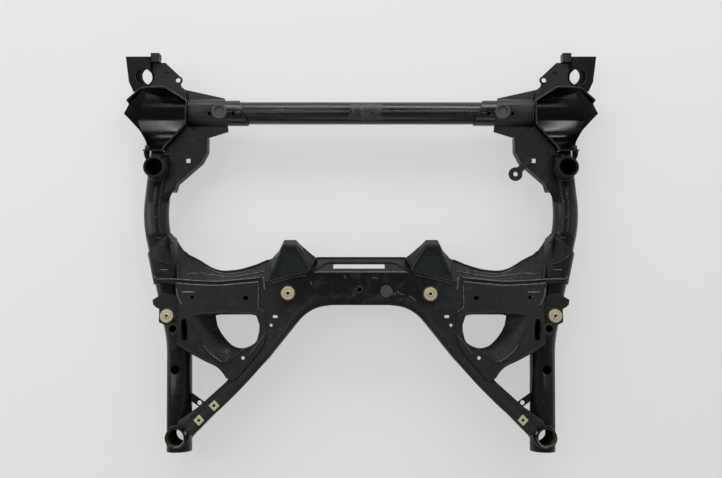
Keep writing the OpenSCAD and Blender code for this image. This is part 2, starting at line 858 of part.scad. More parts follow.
module crossmember_shell() {
    color(black)
        difference() {
            union() {
                difference() {
                    slab(floor_outline, shell_floor_z, seam_z);
                    difference() {
                        slab(inset(floor_outline, sheet_t), shell_floor_z + sheet_t, seam_z + cut);
                        beyond_lean(lean_trim + lean_wall);
                    }
                    beyond_lean(lean_trim);
                }
                for (side = [left, right])
                    sided(side) {
                        seam_flange();
                        hood();
                    }
            }
            for (side = [left, right])
                sided(side) {
                    slab(inset(draw_outline, -sheet_t - cut), shell_floor_z - cut, shell_floor_z + sheet_t + cut);
                    floor_hole(arm_slot + [arm_slot_l / 2 + 8, 0], 7);
                    floor_hole(arm_hole + [8, -1], 6.5);
                    floor_hole(end_low_hole + [10.5, -3.5], 4.5);
                }
        }
}

module floor_hole(place, r) {
    upright(place, r, shell_floor_z - cut, shell_floor_z + sheet_t + cut);
}

arm_slot = [168, -139];
arm_slot_l = 4;
arm_hole = [178, -156];
arm_hole_r = 3;
arm_end_hole_r = 5;
arm_end_hole = [rear_sleeve.x - 28, rear_sleeve.y + 20];
bare_nut_hole = [rear_sleeve.x - 75, rear_sleeve.y + 62];
weld_nut_place = [-3, -86];
grey_plug_place = [50, -89];
grey_plug_lip = 2;
// The right inner nut sits a little nearer to the middle than the left one
function zinc_inner(side) = side > 0 ? [138, -94.5] : [145, -93];
module crossmember_plate() {
    strip = [
        [140, arm_root_y - 24],
        [166, -162],
        [220, -246],
        [rear_sleeve.x - 84, rear_sleeve.y + 79],
        [rear_sleeve.x - 97, rear_sleeve.y + 73],
        [192, -218]
    ];
    color(black)
        difference() {
            union() {
                slab(plate_outline, seam_z, plate_z);
                for (side = [left, right])
                    sided(side) slab(ccw(strip), plate_z, plate_z + arm_strip_h);
            }
            for (side = [left, right])
                sided(side) {
                    upright(zinc_inner(side), zinc_nut_bore_r, 0, far);
                    upright(arm_hole, arm_hole_r, 0, far);
                    upright(arm_slot, arm_hole_r, 0, far);
                    upright(arm_slot + [arm_slot_l, 0], arm_hole_r, 0, far);
                    upright(arm_end_hole, arm_end_hole_r, 0, far);
                    upright(rear_sleeve, rear_sleeve_od / 2 + weld_gap, 0, far);
                }
            upright(bare_nut_hole, clip_nut_bore_r + nut_clear, 0, far);
            upright(weld_nut_place, weld_nut_bore / 2 + nut_clear, 0, far);
            upright(grey_plug_place, grey_plug_r - grey_plug_lip, 0, far);
        }
}

end_hole = [335, -101];
end_low_hole = [232, -220];
end_hole_r = 3.5;
end_oval = [227, -102];
end_oval_r = 4;
end_oval_l = 3;
crescent = [349, -165];
crescent_l = 43;
crescent_w = 13;
module end_plate(side) {
    color(black)
        sided(side)
            difference() {
                union() {
                    difference() {
                        slab(end_outline, plate_z, end_plate_z);
                        slab(inset(draw_outline, -sheet_t / 2), 0, far);
                    }
                    difference() {
                        slab(end_outline, seam_z, plate_z);
                        slab(inset(end_outline, sheet_t), seam_z - cut, plate_z);
                        slab(plate_outline, seam_z - cut, plate_z);
                    }
                    loft([
                        level(drawn_z, inset(rim_outline, -sheet_t)),
                        level(end_plate_z, inset(draw_outline, -sheet_t)),
                        level(end_plate_z, draw_outline),
                        level(drawn_z, rim_outline)
                    ], closed = true);
                }
                upright(end_hole, end_hole_r, 0, far);
                upright(end_oval, end_oval_r, seam_z - cut, far);
                upright(end_oval + [end_oval_l, 0], end_oval_r, seam_z - cut, far);
                upright(end_low_hole, end_hole_r, 0, far);
                for (end = [-1, 1])
                    upright(crescent + [0, end * (crescent_l - crescent_w) / 2], crescent_w / 2, 0, far);
                translate([crescent.x - crescent_w / 2, crescent.y - (crescent_l - crescent_w) / 2, 0])
                    cube([crescent_w, crescent_l - crescent_w, far]);
                upright(link_bush, link_bush_od / 2 + weld_gap, 0, far);
            }
}

tower_window = 20;
tower_window_x = 137;
module mount_tower(side) {
    face_z = plate_z + sheet_t;
    window_top = seam_y + lean + tower_reach - 20;
    color(black)
        sided(side)
            difference() {
                loft([
                    level(face_z - sheet_t, inset(tower_face, sheet_t)),
                    level(tower_shoulder_z - sheet_t / 2, inset(tower_back, sheet_t)),
                    level(tower_back_z, inset(tower_back, sheet_t)),
                    level(tower_back_z, tower_back),
                    level(tower_shoulder_z, tower_back),
                    level(face_z, tower_face)
                ]);
                crossmember_room(weld_gap);
                translate([tower_window_x, window_top - tower_window, face_z - sheet_t / 3])
                    cube([tower_window, tower_window, sheet_t]);
            }
}

zinc_outer = [tube_x(-138) + 9, -138];
module hook_tab(side) {
    plan = [
        [ankle_x - 2, -98],
        [ankle_x + 28, -92],
        [ankle_x + 50, -106],
        [ankle_x + 48, -116],
        [ankle_x + 42, -121],
        [ankle_x + 36, -124],
        [ankle_x + 36, -150],
        [ankle_x + 24, -156],
        [ankle_x - 2, -156]
    ];
    color(black)
        sided(side)
            difference() {
                slab(ccw(plan), tab_z - sheet_t, tab_z);
                upright(zinc_outer, zinc_nut_bore_r, 0, far);
                upright(link_bush, link_bush_od / 2 + weld_gap, 0, far);
            }
}

// Small parts
zinc_collar_w = 2;
zinc_collar_h = 1;
module zinc_nut(place, foot) {
    top = foot + zinc_nut_t;
    difference() {
        union() {
            upright(place, zinc_nut_r, foot, top);
            upright(place, zinc_nut_bore_r + zinc_collar_w, top, top + zinc_collar_h);
        }
        upright(place, zinc_nut_bore_r, foot - cut, far);
    }
}

module zinc_nuts() {
    color(zinc)
        for (side = [left, right])
            sided(side) {
                zinc_nut(zinc_inner(side), plate_z);
                zinc_nut(zinc_outer, tab_z);
            }
}

module clip_nut(place) {
    translate([place.x, place.y, plate_z])
        rotate(45)
            difference() {
                translate([-clip_nut_side / 2, -clip_nut_side / 2, 0])
                    cube([clip_nut_side, clip_nut_side, clip_nut_t]);
                translate([0, 0, -cut]) cylinder(h = clip_nut_t + 2 * cut, r = clip_nut_bore_r);
            }
}

clip_nut_lower = [rear_sleeve.x - 46, rear_sleeve.y + 34];
module clip_nuts() {
    color(zinc) {
        sided(left) clip_nut(bare_nut_hole);
        sided(left) clip_nut(clip_nut_lower);
        sided(right) clip_nut(clip_nut_lower);
    }
}

module weld_nut() {
    color(black) sleeve(weld_nut_place, weld_nut_od, weld_nut_bore, plate_z, plate_z + sheet_t);
}

module grey_plug() {
    color(grey) {
        upright(grey_plug_place, grey_plug_r, plate_z, plate_z + grey_plug_lip);
        upright(grey_plug_place, grey_plug_r - grey_plug_lip - weld_gap, seam_z, plate_z);
    }
}

loop_place = [rear_sleeve.x - 39, rear_sleeve.y + 64];
loop_hole_r = 4.5;
loop_l = 34;
loop_w = 14;
loop_turn = 35;
module loop_clips() {
    color(black)
        for (side = [left, right])
            sided(side)
                difference() {
                    translate([loop_place.x, loop_place.y, side_tube_z])
                        rotate(loop_turn) translate([-2 * loop_hole_r, -loop_w / 2, 0]) cube([loop_l, loop_w, sheet_t]);
                    upright(loop_place, loop_hole_r, 0, far);
                    side_tube_room(weld_gap);
                    slab(inset(seam_outline, -weld_gap), 0, far);
                }
}

label_t = 0.4;
label_x = -4;
label_share = 0.36;
module label() {
    drop = seam_z - shell_floor_z;
    color(white)
        translate([label_x, seam_y - lean_trim + lean * label_share, seam_z - drop * label_share])
            rotate([-atan2(drop, lean), 0, 0])
                translate([-label_l / 2, -label_h / 2, 0]) cube([label_l, label_h, label_t]);
}

at_rest() front_cross_tube();
at_rest() tube_collar(left);  // tube_collar_left
at_rest() tube_collar(right);  // tube_collar_right
at_rest() tube_bracket(left);  // tube_bracket_left
at_rest() tube_bracket(right);  // tube_bracket_right
at_rest() bracket_plugs();
at_rest() corner_pocket(left);  // corner_pocket_left
at_rest() corner_pocket(right);  // corner_pocket_right
at_rest() front_mount_bracket(left);  // front_mount_bracket_left
at_rest() front_mount_bracket(right);  // front_mount_bracket_right
at_rest() front_mount_sleeve(left);  // front_mount_sleeve_left
at_rest() front_mount_sleeve(right);  // front_mount_sleeve_right
at_rest() ear_plate(left);  // ear_plate_left
at_rest() ear_plate(right);  // ear_plate_right
at_rest() front_clips();
at_rest() side_tube(left);  // side_tube_left
at_rest() side_tube(right);  // side_tube_right
at_rest() middle_body_sleeve(left);  // middle_sleeve_left
at_rest() middle_body_sleeve(right);  // middle_sleeve_right
at_rest() rear_body_sleeve(left);  // rear_sleeve_left
at_rest() rear_body_sleeve(right);  // rear_sleeve_right
at_rest() link_bolt_bush(left);  // link_bush_left
at_rest() link_bolt_bush(right);  // link_bush_right
at_rest() gusset_plate(left);  // gusset_plate_left
at_rest() gusset_plate(right);  // gusset_plate_right
at_rest() line_bracket();
at_rest() crossmember_shell();
at_rest() crossmember_plate();
at_rest() end_plate(left);  // end_plate_left
at_rest() end_plate(right);  // end_plate_right
at_rest() mount_tower(left);  // mount_tower_left
at_rest() mount_tower(right);  // mount_tower_right
at_rest() hook_tab(left);  // hook_tab_left
at_rest() hook_tab(right);  // hook_tab_right
at_rest() zinc_nuts();
at_rest() clip_nuts();
at_rest() weld_nut();
at_rest() grey_plug();
at_rest() loop_clips();
at_rest() label();
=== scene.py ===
"""Looks of the welded front subframe: dip paint, zinc plating, weld beads and small pressed details."""
import math
import random

import bmesh
import bpy
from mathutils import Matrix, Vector


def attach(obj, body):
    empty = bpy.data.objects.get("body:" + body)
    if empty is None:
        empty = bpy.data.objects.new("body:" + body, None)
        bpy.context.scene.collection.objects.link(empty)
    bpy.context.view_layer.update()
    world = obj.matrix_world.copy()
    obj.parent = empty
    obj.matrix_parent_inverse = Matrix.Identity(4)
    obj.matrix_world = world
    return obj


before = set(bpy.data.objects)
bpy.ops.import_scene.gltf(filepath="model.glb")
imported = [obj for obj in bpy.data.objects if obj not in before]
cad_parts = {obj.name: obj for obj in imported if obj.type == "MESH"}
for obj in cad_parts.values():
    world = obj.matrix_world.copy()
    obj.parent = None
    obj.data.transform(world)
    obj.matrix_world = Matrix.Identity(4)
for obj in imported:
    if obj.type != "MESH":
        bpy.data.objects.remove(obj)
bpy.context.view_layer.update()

MM = 0.001
# The part's drawing lies this much along the frame from the row frame, in millimetres
DRAWING_SHIFT = 1.0
SIDES = (1, -1)

# Camera, from the photograph's viewing angle
CAMERA_TILT = math.radians(6.2)
CAMERA_PLACE = Vector((0.0, -0.1444, 1.5621))
PHOTO_WIDTH = 722
FOCAL_PIXELS = 744.0
SENSOR_WIDTH = 36.0

# Edges of the sheet metal
EDGE_WIDTH = 0.9 * MM
EDGE_SEGMENTS = 2
EDGE_ANGLE = math.radians(32)
SHARP_ANGLE = math.radians(50)
JOIN_DISTANCE = 0.02 * MM

# Closing sheets and weld beads, in millimetres
SHEET_T = 1.6
WEB_T = 1.5
BEAD_STEP = 1.2

# Heights of the sheets, in millimetres above the resting plane
SEAM_Z = 78.0
PLATE_Z = 81.0
END_PLATE_Z = 84.0
FLOOR_Z = 14.0
RIM_Z = 86.0
TUBE_Z = 46.0
TUBE_R = 25.0
CROSS_Y = 282.0
CROSS_Z = 50.0
CROSS_R = 23.0

# Places along the drawing, right half, in millimetres
TUBE_LINE = [(-404, 361), (-186, 366), (60, 423), (197, 411)]
SEAM_LINE = [(0, -50), (90, -50), (184, -69), (228, -74), (285, -79), (335, -77), (371, -74)]
BACK_LINE = [(0, -16), (90, -16), (184, -17), (200, -24), (216, -31), (234, -37), (250, -41.5), (267, -44),
             (285, -45), (300, -42.5), (311, -38), (323, -31), (335, -23), (348, -16), (360, -10), (370, -1),
             (378, 10), (388, 26)]
# Past this place the leaning wall fans out from the seam
FAN_X = 352.0
FAN_SHARE = 0.3
HOOD_R = 28.2
# Opening of the end plates: rim of the drawn hole below, and its lip on the sheet
DRAWN_RIM = [(294, -135), (288, -164), (271, -188), (254, -201), (232, -203), (207, -188), (201, -160),
             (211, -135)]
DRAWN_LIP = [(329, -136), (319, -175), (297, -207), (268, -228), (238, -209), (206, -190), (199, -160),
             (208, -134)]

# Places of the uprights, and the radius of the weld around each
UPRIGHTS = {
    "middle": ((414.3, 159.0), 22.6),
    "rear": ((361.7, -374.0), 21.2),
    "link": ((371.3, -163.0), 12.3),
}


def between(rows, key):
    """The value at a key, from rows of key and value in rising order."""
    for (a, first), (b, second) in zip(rows, rows[1:]):
        if key <= b:
            return first + (second - first) * (key - a) / (b - a)
    return rows[-1][1]


def tube_x(y):
    return between(TUBE_LINE, y)


def seam_y(x):
    return between(SEAM_LINE, abs(x))


def on_lean(x, share):
    """A point of the leaning back wall, from the seam at 0 to the floor at 1."""
    top, foot = seam_y(x), between(BACK_LINE, abs(x))
    top_x = math.copysign(min(abs(x), FAN_X + (abs(x) - FAN_X) * FAN_SHARE), x)
    return (top_x + (x - top_x) * share, top + (foot - top) * share, SEAM_Z + (FLOOR_Z - SEAM_Z) * share)


def on_tube(offset, y, lift=0.0):
    """A point on top of a side tube, beside its centre line."""
    return (tube_x(y) + offset, y, TUBE_Z + lift + math.sqrt(max(TUBE_R ** 2 - offset ** 2, 0.0)))


def on_hood(x, y, lift=0.0):
    """A point on the hood that laps over a side tube."""
    return (x, y, TUBE_Z + lift + math.sqrt(max(HOOD_R ** 2 - (x - tube_x(y)) ** 2, 0.0)))


def at(x, y, z):
    """A point of the drawing, in millimetres, as a place in the row frame."""
    return Vector((x, y + DRAWING_SHIFT, z)) * MM


def bore_place(name):
    """The axis of an upright sleeve, right half, on the resting plane."""
    return tuple(at(*UPRIGHTS[name][0], 0.0))


# Shader helpers

class Graph:
    """Adds nodes to a tree and joins them."""

    def __init__(self, tree):
        self.tree = tree

    def add(self, kind, **values):
        node = self.tree.nodes.new(kind)
        for name, value in values.items():
            setattr(node, name, value)
        return node

    def join(self, source, target):
        self.tree.links.new(source, target)

    def noise(self, coords, scale, detail=3.0, roughness=0.55, distortion=0.0):
        node = self.add("ShaderNodeTexNoise")
        node.inputs["Scale"].default_value = scale
        node.inputs["Detail"].default_value = detail
        node.inputs["Roughness"].default_value = roughness
        node.inputs["Distortion"].default_value = distortion
        self.join(coords, node.inputs["Vector"])
        return node.outputs["Fac"]

    def stretched(self, coords, scale, turn):
        node = self.add("ShaderNodeMapping")
        node.inputs["Scale"].default_value = scale
        node.inputs["Rotation"].default_value = turn
        self.join(coords, node.inputs["Vector"])
        return node.outputs["Vector"]

    def span(self, value, low, high, to_low=0.0, to_high=1.0):
        node = self.add("ShaderNodeMapRange")
        node.inputs["From Min"].default_value = low
        node.inputs["From Max"].default_value = high
        node.inputs["To Min"].default_value = to_low
        node.inputs["To Max"].default_value = to_high
        self.join(value, node.inputs["Value"])
        return node.outputs["Result"]

    def math(self, operation, first, second):
        node = self.add("ShaderNodeMath", operation=operation)
        for socket, value in zip(node.inputs, (first, second)):
            if isinstance(value, (int, float)):
                socket.default_value = value
            else:
                self.join(value, socket)
        return node.outputs[0]

    def mix(self, share, first, second):
        node = self.add("ShaderNodeMix", data_type="RGBA")
        sockets = [s for s in node.inputs if s.type == "RGBA"]
        for socket, value in ((node.inputs["Factor"], share), (sockets[0], first), (sockets[1], second)):
            if isinstance(value, (int, float)):
                socket.default_value = value
            elif isinstance(value, tuple):
                socket.default_value = (*value, 1.0)
            else:
                self.join(value, socket)
        return [s for s in node.outputs if s.type == "RGBA"][0]


def new_group(name, inputs, outputs):
    """An empty shader group with named sockets."""
    tree = bpy.data.node_groups.new(name, "ShaderNodeTree")
    for label, kind, value in inputs:
        socket = tree.interface.new_socket(name=label, in_out="INPUT", socket_type=kind)
        socket.default_value = value
    for label, kind in outputs:
        tree.interface.new_socket(name=label, in_out="OUTPUT", socket_type=kind)
    graph = Graph(tree)
    return graph, graph.add("NodeGroupInput"), graph.add("NodeGroupOutput")


FINISH_OUTPUTS = [
    ("Color", "NodeSocketColor"),
    ("Roughness", "NodeSocketFloat"),
    ("Height", "NodeSocketFloat"),
]

# Tones that the shared finishes mix in
PALE_TONE = (0.044, 0.0438, 0.0415)
DUST_TONE = (0.036, 0.035, 0.033)
SPECK_TONE = (0.1, 0.095, 0.088)
SCUFF_TONE = (0.2, 0.2, 0.2)
RUST_DARK = (0.055, 0.04, 0.032)
RUST_PALE = (0.14, 0.115, 0.09)
ZINC_PALE = (0.72, 0.67, 0.46)
ZINC_DIRT = (0.2, 0.14, 0.07)
# Where the paler tone starts and is full: beside the middle, and down the arms, in metres
PALE_ENDS = (0.13, 0.2)
PALE_ARMS = (-0.1, -0.17)
# How much of a bore takes its bore tone (a painted shade; rust brown on the rear sleeves), and how much
# rougher the dulled places are
BORE_SHARE = 0.9
RUST_ROUGH, DULL_ROUGH, DUST_ROUGH = 0.35, 0.5, 0.25


def dip_paint_group():
    """Black dip paint: mottled tone, paler towards the ends and down the arms, dust, fine scuffs, rust and
    small dents.

    Inside a bore it is dull and takes the bore tone, by default a painted shade; the rear sleeves give a rust
    brown. It is dull on the rim above a height.
    """
    graph, given, out = new_group(
        "dip_paint",
        [
            ("Tone", "NodeSocketColor", (0.006, 0.006, 0.0065, 1.0)),
            ("Dust", "NodeSocketFloat", 0.5),
            ("Scuffs", "NodeSocketFloat", 0.4),
            ("Rust", "NodeSocketFloat", 0.0),
            ("Dents", "NodeSocketFloat", 0.3),
            ("Gloss", "NodeSocketFloat", 0.3),
            ("Film", "NodeSocketFloat", 0.0),
            ("Bore Place", "NodeSocketVector", (0.0, 0.0, 0.0)),
            ("Bore Radius", "NodeSocketFloat", 0.0),
            # the default bore tone is a painted shade inside the bore
            ("Bore Tone", "NodeSocketColor", (0.003, 0.003, 0.0025, 1.0)),
            ("Rust From", "NodeSocketFloat", 10.0),
            ("Dull Above", "NodeSocketFloat", 10.0),
        ],
        FINISH_OUTPUTS,
    )
    coords = graph.add("ShaderNodeTexCoord").outputs["Object"]
    place = graph.add("ShaderNodeSeparateXYZ")
    graph.join(coords, place.inputs["Vector"])
    beside = graph.math("ABSOLUTE", place.outputs["X"], 0.0)
    ends = graph.span(beside, *PALE_ENDS)
    arms = graph.span(place.outputs["Y"], *PALE_ARMS)
    pale_share = graph.math("MULTIPLY", graph.math("MAXIMUM", ends, arms), given.outputs["Film"])
    here = graph.add("ShaderNodeCombineXYZ")
    graph.join(beside, here.inputs["X"])
    graph.join(place.outputs["Y"], here.inputs["Y"])
    away = graph.add("ShaderNodeVectorMath", operation="DISTANCE")
    graph.join(here.outputs["Vector"], away.inputs[0])
    graph.join(given.outputs["Bore Place"], away.inputs[1])
    inside = graph.math("LESS_THAN", away.outputs["Value"], given.outputs["Bore Radius"])
    broad = graph.noise(coords, 9.0, 4.0, 0.6, 0.4)
    patchy = graph.noise(coords, 46.0, 5.0, 0.62, 0.6)
    peel = graph.noise(coords, 820.0, 2.0, 0.5)
    specks = graph.noise(coords, 310.0, 2.0, 0.5)
    streaks = graph.noise(graph.stretched(coords, (1.0, 9.0, 1.0), (0.0, 0.0, 0.6)), 70.0, 3.0, 0.6, 0.3)
    dust = graph.math("MULTIPLY", graph.span(patchy, 0.5, 0.78), given.outputs["Dust"])
    speck = graph.math("MULTIPLY", graph.span(specks, 0.7, 0.8, 0.0, 0.5), given.outputs["Dust"])
    scuff = graph.math("MULTIPLY", graph.span(streaks, 0.66, 0.72), graph.span(broad, 0.46, 0.6))
    scuff = graph.math("MULTIPLY", scuff, given.outputs["Scuffs"])
    low_side = graph.math("SUBTRACT", given.outputs["Rust From"], place.outputs["Y"])
    rusted = graph.math("MULTIPLY", graph.span(patchy, 0.46, 0.56), graph.span(low_side, -0.004, 0.008))
    rust = graph.math("MULTIPLY", rusted, given.outputs["Rust"])
    pale_share = graph.math("MULTIPLY", pale_share, graph.span(broad, 0.25, 0.7, 0.55, 1.0))
    paled = graph.mix(pale_share, given.outputs["Tone"], PALE_TONE)
    greyed = graph.mix(dust, paled, DUST_TONE)
    flecked = graph.mix(speck, greyed, SPECK_TONE)
    scuffed = graph.mix(scuff, flecked, SCUFF_TONE)
    # inside a bore: the bore tone, a painted shade unless a rust brown is given
    hollowed = graph.mix(graph.math("MULTIPLY", inside, BORE_SHARE), scuffed, given.outputs["Bore Tone"])
    brown = graph.mix(graph.span(specks, 0.42, 0.6), RUST_DARK, RUST_PALE)
    graph.join(graph.mix(rust, hollowed, brown), out.inputs["Color"])
    smear = graph.span(broad, 0.3, 0.72, -0.08, 0.12)
    rough = graph.math("ADD", given.outputs["Gloss"], smear)
    rough = graph.math("ADD", rough, graph.math("MULTIPLY", rust, RUST_ROUGH))
    rim = graph.math("GREATER_THAN", place.outputs["Z"], given.outputs["Dull Above"])
    dulled = graph.math("MAXIMUM", inside, rim)
    rough = graph.math("ADD", rough, graph.math("MULTIPLY", dulled, DULL_ROUGH))
    graph.join(graph.math("ADD", rough, graph.math("MULTIPLY", dust, DUST_ROUGH)), out.inputs["Roughness"])
    dents = graph.math("MULTIPLY", patchy, given.outputs["Dents"])
    graph.join(graph.math("ADD", graph.math("MULTIPLY", peel, 0.05), dents), out.inputs["Height"])
    return graph.tree


def plating_group():
    """Pale yellow zinc: tinted patches, dirt in the hollows and a fine grain."""
    graph, given, out = new_group(
        "zinc_plating",
        [("Tone", "NodeSocketColor", (0.62, 0.56, 0.36, 1.0)), ("Dirt", "NodeSocketFloat", 0.5)],
        FINISH_OUTPUTS,
    )
    coords = graph.add("ShaderNodeTexCoord").outputs["Object"]
    tint = graph.noise(coords, 190.0, 4.0, 0.6, 0.5)
    dirt = graph.noise(coords, 420.0, 4.0, 0.65, 0.8)
    grain = graph.noise(coords, 1900.0, 2.0, 0.5)
    warm = graph.mix(graph.span(tint, 0.35, 0.68), given.outputs["Tone"], ZINC_PALE)
    spots = graph.math("MULTIPLY", graph.span(dirt, 0.5, 0.68), given.outputs["Dirt"])
    graph.join(graph.mix(spots, warm, ZINC_DIRT), out.inputs["Color"])
    graph.join(graph.span(dirt, 0.3, 0.7, 0.36, 0.6), out.inputs["Roughness"])
    graph.join(graph.math("ADD", graph.math("MULTIPLY", grain, 0.15), dirt), out.inputs["Height"])
    return graph.tree


def dull_group():
    """Dull plastic, paper or scraped steel: a tone with blotches and a grain."""
    graph, given, out = new_group(
        "dull_grain",
        [
            ("Tone", "NodeSocketColor", (0.2, 0.2, 0.2, 1.0)),
            ("Stain", "NodeSocketColor", (0.08, 0.07, 0.06, 1.0)),
            ("Amount", "NodeSocketFloat", 0.5),
            ("Scale", "NodeSocketFloat", 150.0),
            ("Gloss", "NodeSocketFloat", 0.6),
        ],
        FINISH_OUTPUTS,
    )
    coords = graph.add("ShaderNodeTexCoord").outputs["Object"]
    blotch = graph.noise(coords, 1.0, 5.0, 0.65, 0.7)
    graph.join(given.outputs["Scale"], blotch.node.inputs["Scale"])
    grain = graph.noise(coords, 1500.0, 2.0, 0.5)
    share = graph.math("MULTIPLY", graph.span(blotch, 0.42, 0.7), given.outputs["Amount"])
    graph.join(graph.mix(share, given.outputs["Tone"], given.outputs["Stain"]), out.inputs["Color"])
    graph.join(graph.math("ADD", given.outputs["Gloss"], graph.span(blotch, 0.3, 0.7, -0.1, 0.12)),
               out.inputs["Roughness"])
    graph.join(graph.math("ADD", graph.math("MULTIPLY", grain, 0.2), blotch), out.inputs["Height"])
    return graph.tree


GROUPS = {"paint": dip_paint_group(), "zinc": plating_group(), "dull": dull_group()}


def finish(name, group, bump, metallic=0.0, specular=0.5, **values):
    """A material from one of the shared groups."""
    material = bpy.data.materials.new(name)
    material.use_nodes = True
    graph = Graph(material.node_tree)
    shader = material.node_tree.nodes["Principled BSDF"]
    source = graph.add("ShaderNodeGroup", node_tree=GROUPS[group])
    for label, value in values.items():
        socket = source.inputs[label.replace("_", " ")]
        socket.default_value = (*value, 1.0) if socket.type == "RGBA" else value
    relief = graph.add("ShaderNodeBump")
    relief.inputs["Strength"].default_value = bump[0]
    relief.inputs["Distance"].default_value = bump[1]
    shader.inputs["Metallic"].default_value = metallic
    shader.inputs["Specular IOR Level"].default_value = specular
    graph.join(source.outputs["Color"], shader.inputs["Base Color"])
    graph.join(source.outputs["Roughness"], shader.inputs["Roughness"])
    graph.join(source.outputs["Height"], relief.inputs["Height"])
    graph.join(relief.outputs["Normal"], shader.inputs["Normal"])
    return material


# Strength and depth of the relief
PAINT_BUMP = (0.35, 0.6 * MM)
PRESSED_BUMP = (0.5, 0.9 * MM)
SLEEVE_BUMP = (0.6, 0.8 * MM)
ZINC_BUMP = (0.4, 0.3 * MM)
STAIN_BUMP = (0.3, 0.2 * MM)
